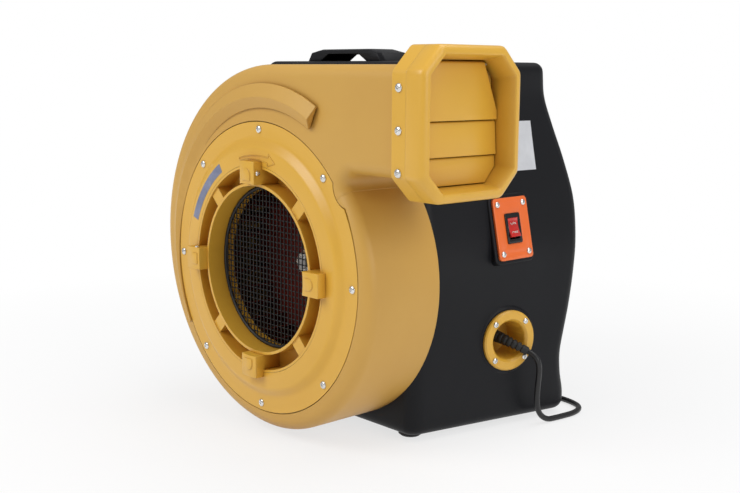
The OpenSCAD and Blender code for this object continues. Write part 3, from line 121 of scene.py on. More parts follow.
def mixColour(tree, share, a, b):
    return addNode(tree, "ShaderNodeMix", {0: share, 6: a, 7: b}, data_type="RGBA").outputs[2]


number, colour, vector = "NodeSocketFloat", "NodeSocketColor", "NodeSocketVector"


def makeMouldedGroup():
    group, into, out = newGroup("mouldedSurface", [
        ("Colour", colour, (0.5, 0.5, 0.5, 1)), ("Shade", colour, (0.2, 0.2, 0.2, 1)),
        ("Edge Colour", colour, (0.8, 0.8, 0.8, 1)), ("Edge Amount", number, 0.3),
        ("Edge Radius", number, 0.0015), ("Mottle Scale", number, 9), ("Mottle Amount", number, 0.3),
        ("Recess Amount", number, 0.5), ("Grain Scale", number, 1400), ("Grain Depth", number, 0.00004),
        ("Roughness", number, 0.45), ("Roughness Spread", number, 0.1)],
        [("Colour", colour), ("Roughness", number), ("Normal", vector)])
    here = addNode(group, "ShaderNodeTexCoord").outputs["Object"]
    soft = addNode(group, "ShaderNodeBevel", {"Radius": into.outputs["Edge Radius"]}, samples=6).outputs[0]
    flat = addNode(group, "ShaderNodeNewGeometry").outputs["Normal"]
    # painted highlight: where the bevelled normal turns away from the true normal, along edges, the colour is
    # lifted toward the edge tone, broken up by noise
    bent = addNode(group, "ShaderNodeVectorMath", {0: soft, 1: flat},
                   operation="DOT_PRODUCT").outputs["Value"]
    broken = addNode(group, "ShaderNodeTexNoise", {"Vector": here, "Scale": 160, "Detail": 4}).outputs["Fac"]
    edge = mathNode(group, "MULTIPLY", mathNode(group, "SUBTRACT", 1, bent), 5, True)
    edge = mathNode(group, "MULTIPLY", mathNode(group, "MULTIPLY", edge, broken), into.outputs["Edge Amount"])
    cloud = addNode(group, "ShaderNodeTexNoise", {
        "Vector": here, "Scale": into.outputs["Mottle Scale"], "Detail": 5, "Roughness": 0.6}).outputs["Fac"]
    cloud = addNode(group, "ShaderNodeMapRange", {0: cloud, 1: 0.32, 2: 0.7}).outputs[0]
    # painted shade: where the AO node finds the surface closed in, the colour is mixed toward the Shade tone
    open_ = addNode(group, "ShaderNodeAmbientOcclusion", {"Distance": 0.035}, samples=6).outputs["AO"]
    recess = mathNode(group, "MULTIPLY", mathNode(group, "SUBTRACT", 1, open_),
                      into.outputs["Recess Amount"], True)
    mottle = mathNode(group, "MULTIPLY", cloud, into.outputs["Mottle Amount"])
    shade = mathNode(group, "MAXIMUM", recess, mottle)
    tone = mixColour(group, shade, into.outputs["Colour"], into.outputs["Shade"])
    # the painted edge highlight is laid over the mottled and recess-shaded tone
    group.links.new(mixColour(group, edge, tone, into.outputs["Edge Colour"]), out.inputs["Colour"])
    spread = mathNode(group, "MULTIPLY", mathNode(group, "SUBTRACT", cloud, 0.5),
                      into.outputs["Roughness Spread"])
    group.links.new(mathNode(group, "ADD", into.outputs["Roughness"], spread, True), out.inputs["Roughness"])
    grain = addNode(group, "ShaderNodeTexNoise", {
        "Vector": here, "Scale": into.outputs["Grain Scale"], "Detail": 2, "Roughness": 0.5}).outputs["Fac"]
    bump = addNode(group, "ShaderNodeBump", {
        "Distance": into.outputs["Grain Depth"], "Height": grain, "Normal": soft})
    group.links.new(bump.outputs[0], out.inputs["Normal"])
    return group


def makeMetalGroup():
    group, into, out = newGroup("workedMetal", [
        ("Colour", colour, (0.6, 0.6, 0.6, 1)), ("Tarnish", colour, (0.3, 0.3, 0.3, 1)),
        ("Tarnish Amount", number, 0.4), ("Edge Radius", number, 0.0004), ("Line Stretch", vector, (1, 1, 1)),
        ("Line Scale", number, 600), ("Line Depth", number, 0.00003), ("Roughness", number, 0.3)],
        [("Colour", colour), ("Roughness", number), ("Normal", vector)])
    here = addNode(group, "ShaderNodeTexCoord").outputs["Object"]
    soft = addNode(group, "ShaderNodeBevel", {"Radius": into.outputs["Edge Radius"]}, samples=6).outputs[0]
    stretched = addNode(group, "ShaderNodeVectorMath", {0: here, 1: into.outputs["Line Stretch"]},
                        operation="MULTIPLY").outputs[0]
    lines = addNode(group, "ShaderNodeTexNoise", {
        "Vector": stretched, "Scale": into.outputs["Line Scale"], "Detail": 3}).outputs["Fac"]
    stain = addNode(group, "ShaderNodeTexNoise", {"Vector": here, "Scale": 60, "Detail": 4}).outputs["Fac"]
    stain = addNode(group, "ShaderNodeMapRange", {0: stain, 1: 0.45, 2: 0.75}).outputs[0]
    dull = mathNode(group, "MULTIPLY", stain, into.outputs["Tarnish Amount"])
    tone = mixColour(group, dull, into.outputs["Colour"], into.outputs["Tarnish"])
    group.links.new(tone, out.inputs["Colour"])
    rough = mathNode(group, "ADD", into.outputs["Roughness"], mathNode(group, "MULTIPLY", lines, 0.15))
    rough = mathNode(group, "ADD", rough, mathNode(group, "MULTIPLY", dull, 0.2), True)
    group.links.new(rough, out.inputs["Roughness"])
    bump = addNode(group, "ShaderNodeBump", {
        "Distance": into.outputs["Line Depth"], "Height": lines, "Normal": soft})
    group.links.new(bump.outputs[0], out.inputs["Normal"])
    return group


moulded, metalwork = makeMouldedGroup(), makeMetalGroup()


def finish(name, group, values, **fixed):
    material = bpy.data.materials.new(name)
    material.use_nodes = True
    tree = material.node_tree
    shader = tree.nodes["Principled BSDF"]
    block = addNode(tree, "ShaderNodeGroup", node_tree=group)
    for key, value in values.items():
        block.inputs[key].default_value = value
    tree.links.new(block.outputs["Colour"], shader.inputs["Base Color"])
    tree.links.new(block.outputs["Roughness"], shader.inputs["Roughness"])
    tree.links.new(block.outputs["Normal"], shader.inputs["Normal"])
    for key, value in fixed.items():
        shader.inputs[key.replace("_", " ")].default_value = value
    return material


mouldedNumbers = ("Edge Amount", "Edge Radius", "Mottle Scale", "Mottle Amount", "Recess Amount",
                  "Grain Scale", "Grain Depth", "Roughness", "Roughness Spread")


# A moulded finish from three tones, body, shade and edge, and the numbers named above; the shade tone gives
# random mottle and painted shade in recesses, the edge tone a painted highlight along edges
def mouldedFinish(name, tones, numbers, **fixed):
    values = dict(zip(mouldedNumbers, numbers))
    values.update(zip(("Colour", "Shade", "Edge Colour"), [srgb(*tone) for tone in tones]))
    return finish(name, moulded, values, **fixed)


# Each finish below paints shade into its recesses with its second tone and paints a highlight along its edges
# with its third tone
scrollYellow = mouldedFinish(
    "scrollYellow", ((205, 160, 74), (164, 108, 34), (236, 200, 112)),
    (0.35, 0.002, 5, 0.16, 0.7, 900, 0.00009, 0.47, 0.1), Coat_Weight=0.08, Coat_Roughness=0.5)
coverYellow = mouldedFinish(
    "coverYellow", ((222, 172, 60), (176, 116, 26), (236, 200, 112)),
    (0.5, 0.0012, 7, 0.12, 0.75, 1500, 0.00004, 0.36, 0.1), Coat_Weight=0.15, Coat_Roughness=0.3)
housingBlack = mouldedFinish(
    "housingBlack", ((15, 16, 21), (9, 10, 13), (42, 44, 52)),
    (0.4, 0.0015, 6, 0.5, 0.4, 1100, 0.00008, 0.43, 0.12), Specular_IOR_Level=0.22)
switchBlack = mouldedFinish(
    "switchBlack", ((22, 22, 24), (12, 12, 13), (90, 90, 92)),
    (0.3, 0.0005, 40, 0.3, 0.3, 2500, 0.00001, 0.2, 0.08))
plateOrange = mouldedFinish(
    "plateOrange", ((240, 112, 44), (196, 70, 18), (255, 170, 110)),
    (0.5, 0.001, 20, 0.15, 0.6, 2000, 0.00002, 0.32, 0.08), Coat_Weight=0.2, Coat_Roughness=0.2)
rockerRed = mouldedFinish(
    "rockerRed", ((206, 30, 22), (120, 10, 8), (250, 120, 100)),
    (0.5, 0.0006, 60, 0.3, 0.5, 2500, 0.00001, 0.15, 0.05), Coat_Weight=0.6, Coat_Roughness=0.05)
impellerRed = mouldedFinish(
    "impellerRed", ((112, 34, 22), (52, 14, 10), (150, 60, 40)),
    (0.3, 0.0006, 18, 0.5, 0.5, 1200, 0.00005, 0.5, 0.1))
rubberBlack = mouldedFinish(
    "rubberBlack", ((26, 26, 27), (14, 14, 15), (70, 70, 70)),
    (0.3, 0.0008, 30, 0.5, 0.3, 1800, 0.00008, 0.62, 0.15))
blockWhite = mouldedFinish(
    "blockWhite", ((226, 224, 216), (180, 176, 165), (246, 246, 242)),
    (0.4, 0.0008, 25, 0.25, 0.5, 1800, 0.00003, 0.4, 0.1))
labelPaper = mouldedFinish(
    "labelPaper", ((206, 208, 212), (168, 170, 176), (236, 236, 238)),
    (0.3, 0.0003, 45, 0.35, 0.2, 3000, 0.00001, 0.4, 0.2))
stickerBlue = mouldedFinish(
    "stickerBlue", ((132, 138, 162), (84, 90, 118), (170, 176, 196)),
    (0.3, 0.0003, 70, 0.6, 0.2, 3000, 0.00001, 0.5, 0.2))
wireBlack = mouldedFinish(
    "wireBlack", ((20, 20, 21), (8, 8, 8), (60, 58, 56)),
    (0.2, 0.0003, 50, 0.5, 0.2, 2500, 0.00003, 0.55, 0.1))
cordBlack = mouldedFinish(
    "cordBlack", ((20, 20, 22), (12, 12, 13), (40, 40, 42)),
    (0.1, 0.0003, 120, 0.5, 0.2, 900, 0.00005, 0.4, 0.15))
screwSteel = finish("screwSteel", metalwork, {
    "Colour": srgb(226, 226, 224), "Tarnish": srgb(150, 148, 142), "Tarnish Amount": 0.3,
    "Edge Radius": 0.0004, "Line Scale": 900, "Line Depth": 0.00001, "Roughness": 0.16}, Metallic=1)
plainSteel = finish("plainSteel", metalwork, {
    "Colour": srgb(190, 190, 190), "Tarnish": srgb(120, 112, 104), "Tarnish Amount": 0.5,
    "Edge Radius": 0.0006, "Line Stretch": (1, 0.05, 1), "Line Scale": 700, "Line Depth": 0.00002,
    "Roughness": 0.28}, Metallic=1)
castAluminium = finish("castAluminium", metalwork, {
    "Colour": srgb(186, 188, 192), "Tarnish": srgb(120, 122, 126), "Tarnish Amount": 0.5,
    "Edge Radius": 0.001, "Line Scale": 500, "Line Depth": 0.00025, "Roughness": 0.42}, Metallic=0.9)
coreSteel = finish("coreSteel", metalwork, {
    "Colour": srgb(120, 122, 126), "Tarnish": srgb(80, 66, 56), "Tarnish Amount": 0.5,
    "Edge Radius": 0.0006, "Line Stretch": (0.02, 1, 0.02), "Line Scale": 1600, "Line Depth": 0.0003,
    "Roughness": 0.4}, Metallic=0.9)
windingCopper = finish("windingCopper", metalwork, {
    "Colour": srgb(206, 124, 64), "Tarnish": srgb(140, 66, 30), "Tarnish Amount": 0.6,
    "Edge Radius": 0.001, "Line Stretch": (1, 0.1, 1), "Line Scale": 800, "Line Depth": 0.0005,
    "Roughness": 0.3}, Metallic=0.6, Coat_Weight=0.5)

finishOfSlot = {
    "yellow_plastic": coverYellow, "black_plastic": housingBlack, "black_gloss": switchBlack,
    "orange_plastic": plateOrange, "red_plastic": rockerRed, "impeller_plastic": impellerRed,
    "screw_steel": screwSteel, "steel": plainSteel, "mesh_wire": wireBlack,
    "aluminium_casting": castAluminium, "core_steel": coreSteel, "copper": windingCopper,
    "black_rubber": rubberBlack, "cord_sheath": cordBlack, "white_plastic": blockWhite}
slotOfNode = {part["node"]: part["material_slot"] for part in frame["record"]["subparts"]}
bodyOfNode = {name: str(piece["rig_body"]) for name, piece in nodes.items()}
for name, piece in nodes.items():
    special = scrollYellow if name in ("scroll_housing", "scroll_back_plate") else None
    for place in piece.material_slots:
        place.material = special or finishOfSlot[slotOfNode[name]]
print("finishes assigned to", len(nodes), "CAD nodes")


# Mesh helpers
def toObject(name, bm, material, smoothAngle=35):
    mesh = bpy.data.meshes.new(name)
    bm.normal_update()
    bm.to_mesh(mesh)
    bm.free()
    mesh.materials.append(material)
    piece = bpy.data.objects.new(name, mesh)
    scene.collection.objects.link(piece)
    shadeByAngle(mesh, smoothAngle)
    return piece


def shadeByAngle(mesh, angle):
    bm = bmesh.new()
    bm.from_mesh(mesh)
    for face in bm.faces:
        face.smooth = True
    for edge in bm.edges:
        edge.smooth = len(edge.link_faces) == 2 and edge.calc_face_angle(0) < math.radians(angle)
    bm.to_mesh(mesh)
    bm.free()


def settle(piece):
    graph = bpy.context.evaluated_depsgraph_get()
    mesh = bpy.data.meshes.new_from_object(piece.evaluated_get(graph))
    piece.modifiers.clear()
    piece.data = mesh
    return piece


def stand(piece, slotName, *replaced, body="casing"):
    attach(piece, body)
    if replaced:
        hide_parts(*replaced)
    return piece


def loft(bm, rings, flip=False):
    rows = [[bm.verts.new(p) for p in ring] for ring in rings]
    count = len(rows[0])
    faces = [bm.faces.new(rows[0][::-1]), bm.faces.new(rows[-1])]
    for low, high in zip(rows, rows[1:]):
        for k in range(count):
            n = (k + 1) % count
            faces.append(bm.faces.new((low[k], low[n], high[n], high[k])))
    if flip:
        bmesh.ops.reverse_faces(bm, faces=faces)
    return faces


def catmull(a, b, c, d, t):
    return (2 * b + (c - a) * t + (2 * a - 5 * b + 4 * c - d) * t * t
            + (3 * b - 3 * c + d - a) * t * t * t) / 2


def alongPoints(points, steps):
    last = len(points) - 1
    fine = []
    for k in range(last):
        a, b, c, d = points[max(k - 1, 0)], points[k], points[k + 1], points[min(k + 2, last)]
        fine += [catmull(a, b, c, d, h / steps) for h in range(steps)]
    return fine + [points[last]]


# A tube through points, carried along without twisting; radii may change from ring to ring
def tube(name, points, radii, sides, material):
    bm = bmesh.new()
    last = len(points) - 1
    across = None
    rings = []
    for k, point in enumerate(points):
        along = (points[min(k + 1, last)] - points[max(k - 1, 0)]).normalized()
        if across is None:
            across = along.orthogonal().normalized()
        across = (across - along * across.dot(along)).normalized()
        other = along.cross(across)
        radius = radii[k] if isinstance(radii, list) else radii
        rings.append([point + (across * math.cos(2 * math.pi * j / sides)
                               + other * math.sin(2 * math.pi * j / sides)) * radius for j in range(sides)])
    loft(bm, rings)
    bmesh.ops.recalc_face_normals(bm, faces=bm.faces)
    return toObject(name, bm, material, 60)


def turned(bm, profile, sides, place=None):
    rings = [[(r * math.cos(2 * math.pi * k / sides), r * math.sin(2 * math.pi * k / sides), z)
              for k in range(sides)] for r, z in profile]
    start = len(bm.verts)
    loft(bm, rings)
    bm.verts.ensure_lookup_table()
    fresh = bm.verts[start:]
    if place is not None:
        bmesh.ops.transform(bm, matrix=place, verts=fresh)
    return fresh


# Cord: its route repeats the drawing's points
cordValues = {"diameter": 7.3, "turns": 5, "coilRadius": 48, "pitch": 8.0, "tail": 54, "lead": 7.3,
              "sides": 16, "settle": 0.8, "coilStart": (70, 390)}
plugValues = {"radius": 18.5, "length": 42, "neck": 6.5, "ribs": 5, "pinRadius": 2.4, "pinLength": 19,
              "pinSpace": 9.5, "restShare": 0.98}
floorZ = -210 + cordValues["diameter"] / 2
cordRoute = [
    (198, 274, -112), (205, 276, -115), (211, 278, -121), (213, 280, -131), (212, 281, -145),
    (210, 282, -160), (208, 284, -176), (207, 288, -190), (208, 295, -200),
    (210, 305, floorZ + cordValues["settle"]),
    (212, 318, floorZ), (214, 334, floorZ), (215, 350, floorZ), (212, 366, floorZ),
    (204, 379, floorZ), (190, 387, floorZ), (172, 391, floorZ), (150, 392, floorZ),
    (126, 391, floorZ), (104, 390, floorZ), (84, 390, floorZ), (70, 390, floorZ)]


def coilPoint(turn, v):
    a = math.radians(-90 - 360 * turn)
    r = v["coilRadius"] - v["pitch"] * min(turn, v["turns"] - turn)
    share = min(max((turn - v["turns"] / 2) * 2 + 0.5, 0), 1)
    lift = (1 - math.cos(math.pi * share)) / 2
    x, y = v["coilStart"]
    return Vector((x - v["lead"] + r * math.cos(a), y + v["coilRadius"] + r * math.sin(a),
                   floorZ + lift * v["pitch"]))


def makeCord(v):
    points = alongPoints([Vector(p) for p in cordRoute], 4)
    wound = [coilPoint(k / 40, v) for k in range(v["turns"] * 40 + 1)]
    rest = plugValues["radius"] * plugValues["restShare"]
    tilt = math.asin((rest - v["diameter"] / 2 - v["pitch"]) / plugValues["length"])
    plugAlong = Vector((-math.cos(tilt), 0, math.sin(tilt)))
    end = wound[-1] - Vector((v["tail"], 0, 0))
    tail = [wound[-1] - Vector((v["lead"], 0, 0)), end - plugAlong * v["lead"], end]
    path = [fromFan(*p) for p in points + wound + alongPoints(tail, 4)]
    length = sum((b - a).length for a, b in zip(path, path[1:]))
    cord = tube("mainsCord", path, v["diameter"] / 2000, v["sides"], cordBlack)
    return cord, path, length, fromFan(*end), plugAlong


cord, cordPath, cordLength, plugEnd, plugAlong = makeCord(cordValues)
print("cord length", round(cordLength, 3))


def makePlug(v):
    turn = plugAlong.to_track_quat("Z", "Y").to_matrix().to_4x4()
    place = Matrix.Translation(plugEnd) @ turn @ Matrix.Scale(0.001, 4)
    r, long = v["radius"], v["length"]
    profile = [(0.01, 0), (v["neck"] - 1.2, 0), (v["neck"], 1.2)]
    for k in range(v["ribs"]):
        z = 2.2 + k * 2.2
        profile += [(v["neck"], z), (v["neck"] - 0.9, z + 0.4), (v["neck"] - 0.9, z + 1.1),
                    (v["neck"], z + 1.5)]
    profile += [(v["neck"] + 0.5, 14.5), (r - 9, 17.5), (r - 5.4, 21), (r - 4, 25), (r - 2.6, 30),
                (r - 2, 33.5), (r - 1.4, 34.2), (r - 1, 35.5), (r - 1, long - 1), (r - 2, long),
                (r - 6, long), (0.01, long)]
    bm = bmesh.new()
    turned(bm, profile, 40, place)
    bmesh.ops.recalc_face_normals(bm, faces=bm.faces)
    body = toObject("plugBody", bm, rubberBlack, 40)
    bm = bmesh.new()
    for side in (-1, 1):
        spot = place @ Matrix.Translation((0, side * v["pinSpace"], long - 2))
        p = v["pinRadius"]
        turned(bm, [(p, 0), (p, v["pinLength"] - 0.4), (p * 0.85, v["pinLength"] + 0.5),
                    (p * 0.5, v["pinLength"] + p / 2)], 20, spot)
    bmesh.ops.recalc_face_normals(bm, faces=bm.faces)
    pins = toObject("plugPins", bm, screwSteel, 40)
    return body, pins


tieValues = {"x": 62.7, "y": (388, 416), "z": (-210, -193.2), "half": 4.5, "bulge": 2.5, "edge": 1,
             "corner": 3, "thick": 0.8, "soft": 0.0002}


def makeTie(v):
    # a strap closed round the coil's bundle, at its side nearest the housing
    bm = bmesh.new()
    (y0, y1), (z0, z1) = v["y"], v["z"]
    bulge, edge, corner, thick, half = v["bulge"], v["edge"], v["corner"], v["thick"], v["half"]
    outer = [(y0 - bulge, z0 + corner), (y0 - edge, z0), (y1 + edge, z0), (y1 + bulge, z0 + corner),
             (y1 + bulge, z1 - corner), (y1 + edge, z1), (y0 - edge, z1), (y0 - bulge, z1 - corner)]
    mid = ((y0 + y1) / 2, (z0 + z1) / 2)
    inner = [(y + (thick if y < mid[0] else -thick), z + (thick if z < mid[1] else -thick)) for y, z in outer]
    loops = []
    for side, ring in ((-half, outer), (half, outer), (half, inner), (-half, inner)):
        loops.append([bm.verts.new(fromFan(v["x"] + side, y, z)) for y, z in ring])
    for a, b in zip(loops, loops[1:] + loops[:1]):
        for k in range(8):
            n = (k + 1) % 8
            bm.faces.new((a[k], a[n], b[n], b[k]))
    bmesh.ops.bevel(bm, geom=[e for e in bm.edges if e.calc_face_angle(0) > 0.8], offset=v["soft"],
                    segments=2, affect="EDGES")
    bmesh.ops.recalc_face_normals(bm, faces=bm.faces)
    return toObject("coilTie", bm, rubberBlack, 40)


plugBody, plugPins = makePlug(plugValues)
coilTie = makeTie(tieValues)
stand(cord, "cord_sheath", "power_cord", "cord_coil")
stand(plugBody, "black_rubber", "cord_plug")
stand(plugPins, "screw_steel")
stand(coilTie, "black_rubber")

switchPlace, grommetPlace, grommetTurn = (184.037, 256, 47), (187.048, 253, -97), 78
reliefValues = {"root": 8.5, "tip": 5.2, "ribs": 9, "groove": 1.5, "inset": 40.5, "reach": 30}


def makeRelief(v):
    turn = math.radians(90 - grommetTurn)
    outward = Vector((math.cos(turn), -math.sin(turn), 0))
    start = Vector(grommetPlace) - outward * v["inset"]
    knee, end = start + outward * v["reach"], Vector(cordRoute[0])
    points, radii = [], []
    steps = v["ribs"] * 8
    for k in range(steps + 1):
        t = k / steps
        points.append(start * (1 - t) ** 2 + knee * 2 * t * (1 - t) + end * t * t)
        low = v["groove"] if k % 8 in (4, 5, 6) and 6 < k < steps - 6 else 0
        radii.append((v["root"] + (v["tip"] - v["root"]) * t - low) / 1000)
    return tube("strainRelief", [fromFan(*p) for p in points], radii, 28, rubberBlack)


stand(makeRelief(reliefValues), "black_rubber", "strain_relief")
print("cord, plug and strain relief made")

# Motor housing: a loft through levels, with walls, plinth, boss, pocket and vents
housingValues = {"width": 404, "depth": 285, "top": 252, "base": -204, "front": 112, "wall": 4,
                 "corner": 20, "edge": 12, "plinth": (69, 88, -18, -3, 9, 2.2),
                 "boss": (44, 3, -23, -8), "pocketRim": (-48, 48, 124, 192, 222, 251),
                 "switchHole": (31.6, 43.6, -60, 2, 2), "grommetHole": ((27.8, -60), (27.8, 2)),
                 "pocket": (-44, 44, 128, 188, 226, 256), "frontHole": ((100, -3), (100, 6)),
                 "vents": (9, 11, -70, -65), "ventBox": (-48, 48, 330, 420), "levels": [
    (0.00, 0.757, 0.990, 0.870), (0.05, 0.757, 0.990, 0.875), (0.11, 0.757, 0.990, 0.853),
    (0.17, 0.757, 0.990, 0.847), (0.23, 0.760, 0.990, 0.868), (0.31, 0.770, 0.985, 0.905),
    (0.41, 0.802, 0.970, 0.945), (0.50, 0.835, 0.945, 0.975), (0.61, 0.812, 0.890, 0.998),
    (0.72, 0.770, 0.830, 0.970), (0.82, 0.730, 0.782, 0.921), (0.90, 0.705, 0.748, 0.885),
    (0.96, 0.700, 0.742, 0.875), (1.00, 0.700, 0.742, 0.870)]}
fineLevels = alongPoints([Vector(level) for level in housingValues["levels"]], 8)
for level in fineLevels:
    level[2], level[3] = min(level[2], 0.99), min(level[3], 0.998)


def levelAt(share):
    for low, high in zip(fineLevels, fineLevels[1:]):
        if share <= high[0]:
            return low.lerp(high, (share - low[0]) / max(high[0] - low[0], 1e-9))
    return fineLevels[-1]


def housingRing(z, inset, v, cornerPoints=9, sidePoints=14):
    level = levelAt(min(max((z - v["base"]) / (v["top"] - v["base"]), 0), 1))
    front, rear = v["width"] / 2 * level[1] - inset, v["width"] / 2 * level[2] - inset
    deep = v["depth"] * level[3] - 2 * inset
    r = max(v["corner"] - inset, v["corner"] / 4)
    side, along = r / rear, r / deep
    ring = []
    for corner in range(4):
        for k in range(cornerPoints + 1):
            a = math.radians(90 * (corner + k / cornerPoints))
            sx = (1 - side if corner in (0, 3) else side - 1) + side * math.cos(a)
            t = (1 - along if corner < 2 else along) + along * math.sin(a)
            ring.append((sx, t))
    full = []
    for k, (sx, t) in enumerate(ring):
        full.append((sx, t))
        if k % (cornerPoints + 1) == cornerPoints:
            nx, nt = ring[(k + 1) % len(ring)]
            full += [(sx + (nx - sx) * j / sidePoints, t + (nt - t) * j / sidePoints)
                     for j in range(1, sidePoints)]
    return [fromFan(sx * (front + (rear - front) * t), v["front"] + inset + t * deep, z) for sx, t in full]


def housingRings(wall, v):
    low, high, e = v["base"] + wall, v["top"] - wall, v["edge"] - wall
    turns = [math.radians(90 * k / 6) for k in range(7)]
    rings = [housingRing(low + e * (1 - math.cos(a)), wall + e * (1 - math.sin(a)), v) for a in turns]
    count = 74
    rings += [housingRing(low + e + (high - low - 2 * e) * k / count, wall, v) for k in range(1, count)]
    return rings + [housingRing(high - e * (1 - math.cos(a)), wall + e * (1 - math.sin(a)), v)
                    for a in turns[::-1]]


def turnedFrame(centre, turns):
    matrix = Matrix.Translation(fromFan(*centre))
    for angle, axis in turns:
        matrix = matrix @ Matrix.Rotation(math.radians(angle), 4, axis)
    return matrix @ Matrix.Scale(0.001, 4)


atSwitch = turnedFrame(switchPlace, [(86, "Z"), (90, "X"), (-12, "X"), (1, "Z")])
atGrommet = turnedFrame(grommetPlace, [(grommetTurn, "Z"), (90, "X")])


# Slab with round corners and softened rims, in millimetres, placed by a matrix
def slab(bm, place, w, h, z0, z1, r, soft=0, points=8):
    outline = []
    for corner, (sx, sy) in enumerate(((1, 1), (-1, 1), (-1, -1), (1, -1))):
        for k in range(points + 1):
            a = math.radians(90 * (corner + k / points))
            outline.append((sx * (w / 2 - r), sy * (h / 2 - r), math.cos(a), math.sin(a)))
    steps = [(z0, 0)]
    for k in range(5):
        a = math.radians(90 * k / 4)
        steps.append((z1 - soft + soft * math.sin(a), soft * (1 - math.cos(a))))
    rings = [[place @ Vector((x + (r - i) * cx, y + (r - i) * cy, z)) for x, y, cx, cy in outline]
             for z, i in (steps if soft else [(z0, 0), (z1, 0)])]
    loft(bm, rings)


def cutter(build):
    bm = bmesh.new()
    build(bm)
    bmesh.ops.recalc_face_normals(bm, faces=bm.faces)
    return toObject("cutter", bm, housingBlack)


def combine(piece, operation, build):
    tool = cutter(build)
    change = piece.modifiers.new("cut", "BOOLEAN")
    change.operation, change.solver, change.object = operation, "MANIFOLD", tool
    bpy.context.view_layer.update()
    settle(piece)
    bpy.data.objects.remove(tool)


def boxOf(bm, x0, x1, y0, y1, z0, z1, soft=0):
    made = bmesh.ops.create_cube(bm, size=1)["verts"]
    for vert in made:
        x, y, z = vert.co
        vert.co = fromFan(x1 if x > 0 else x0, y1 if y > 0 else y0, z1 if z > 0 else z0)
    if soft:
        edges = list({edge for vert in made for edge in vert.link_edges})
        bmesh.ops.bevel(bm, geom=edges, offset=soft / 1000, segments=3, affect="EDGES", profile=0.5)


def makeHousing(v):
    bm = bmesh.new()
    loft(bm, housingRings(0, v))
    bmesh.ops.recalc_face_normals(bm, faces=bm.faces)
    inner = loft(bm, housingRings(v["wall"], v))
    bm.normal_update()
    if sum(f.normal.z for f in inner if len(f.verts) > 4 and f.calc_center_median().z > 0.3) > 0:
        bmesh.ops.reverse_faces(bm, faces=inner)
    piece = toObject("motorHousing", bm, housingBlack, 32)

    def raised(bm):
        r, soft, z0, z1 = v["boss"]
        rim = [math.radians(a) for a in (22, 45, 68, 90)]
        slab(bm, atSwitch, *v["plinth"])
        turned(bm, [(r, z0), (r, z1)] + [(r - soft + soft * math.cos(a), z1 + soft * math.sin(a))
                                         for a in rim], 64, atGrommet)
        boxOf(bm, *v["pocketRim"])

    def opened(bm):
        count, pitch, low, high = v["vents"]
        slab(bm, atSwitch, *v["switchHole"])
        turned(bm, v["grommetHole"], 64, atGrommet)
        boxOf(bm, *v["pocket"])
        turned(bm, v["frontHole"], 120, Matrix.Translation(fromFan(0, v["front"], 0))
               @ Matrix.Rotation(math.radians(-90), 4, "X") @ Matrix.Scale(0.001, 4))
        for k in range(count):
            boxOf(bm, *v["ventBox"], low + pitch * k, high + pitch * k)

    combine(piece, "UNION", raised)
    combine(piece, "DIFFERENCE", opened)
    shadeByAngle(piece.data, 32)
    return piece


housing = stand(makeHousing(housingValues), "black_plastic", "motor_housing")
print("housing made with", len(housing.data.polygons), "faces")


# A CAD node's own shape with its sharp edges softened
def softened(nodeName, width, material, segments=2, angle=38):
    mesh = nodes[nodeName].data.copy()
    bm = bmesh.new()
    bm.from_mesh(mesh)
    bmesh.ops.remove_doubles(bm, verts=bm.verts, dist=2e-6)
    bmesh.ops.dissolve_limit(bm, angle_limit=math.radians(0.4), verts=bm.verts, edges=bm.edges)
    parts = nodeName.split("_")
    name = parts[0] + "".join(word.capitalize() for word in parts[1:])
    piece = toObject(name + "Soft", bm, material, angle)
    if width:
        rim = piece.modifiers.new("rim", "BEVEL")
        rim.width, rim.segments, rim.limit_method = width / 1000, segments, "ANGLE"
        rim.angle_limit, rim.harden_normals = math.radians(angle), False
        settle(piece)
        shadeByAngle(piece.data, angle)
    stand(piece, slotOfNode[nodeName], nodeName, body=bodyOfNode[nodeName])


softEdges = {"outlet_bezel": 1.2, "carry_handle": 2.2, "inlet_lugs": 0.7, "switch_plate": 0.7,
             "switch_body": 0.4, "switch_rocker": 0.5, "flap_upper": 0.5, "flap_middle": 0.5,
             "flap_lower": 0.5}
for nodeName, width in softEdges.items():
    softened(nodeName, width, finishOfSlot[slotOfNode[nodeName]])
for nodeName in ("inlet_cover", "inlet_collar", "outlet_collar", "cord_grommet"):
    softened(nodeName, 0, coverYellow)
softened("scroll_housing", 0, scrollYellow)
print("moulded pieces softened")

# Screws, placed by a node tree on points that carry their own direction
screwValues = {"dome": 0.56, "rim": 0.12, "recess": 0.3, "arm": 0.62, "blade": 0.2, "shank": 2.4, "seed": 4}


def makeScrewShape(v):
    bm = bmesh.new()
    profile = [(0.42, -v["shank"]), (0.46, -v["shank"] + 0.1), (0.46, 0), (0.97, 0), (1, 0.03), (1, v["rim"])]
    profile += [(math.cos(math.radians(a)), v["rim"] + (v["dome"] - v["rim"]) * math.sin(math.radians(a)))
                for a in (12, 24, 36, 48, 60, 72, 82)]
    turned(bm, profile, 28)
    bmesh.ops.recalc_face_normals(bm, faces=bm.faces)
    head = toObject("screwShape", bm, screwSteel, 40)

    def cross(bm):
        for turn in (0, 90):
            made = bmesh.ops.create_cube(bm, size=1)["verts"]
            for vert in made:
                deep = vert.co.z < 0
                wide = v["arm"] * (0.45 if deep else 1)
                vert.co = Vector((wide if vert.co.x > 0 else -wide,
                                  v["blade"] / 2 if vert.co.y > 0 else -v["blade"] / 2,
                                  v["dome"] - v["recess"] if deep else v["dome"] + 0.2))
            bmesh.ops.rotate(bm, verts=made, matrix=Matrix.Rotation(math.radians(turn), 3, "Z"))
    for part in (0, 1):
        def oneArm(bm, part=part):
            cross(bm)
            bm.verts.ensure_lookup_table()
            gone = bm.verts[8:] if part == 0 else bm.verts[:8]
            bmesh.ops.delete(bm, geom=gone, context="VERTS")
        combine(head, "DIFFERENCE", oneArm)
    shadeByAngle(head.data, 40)
    head.hide_render = True
    return head


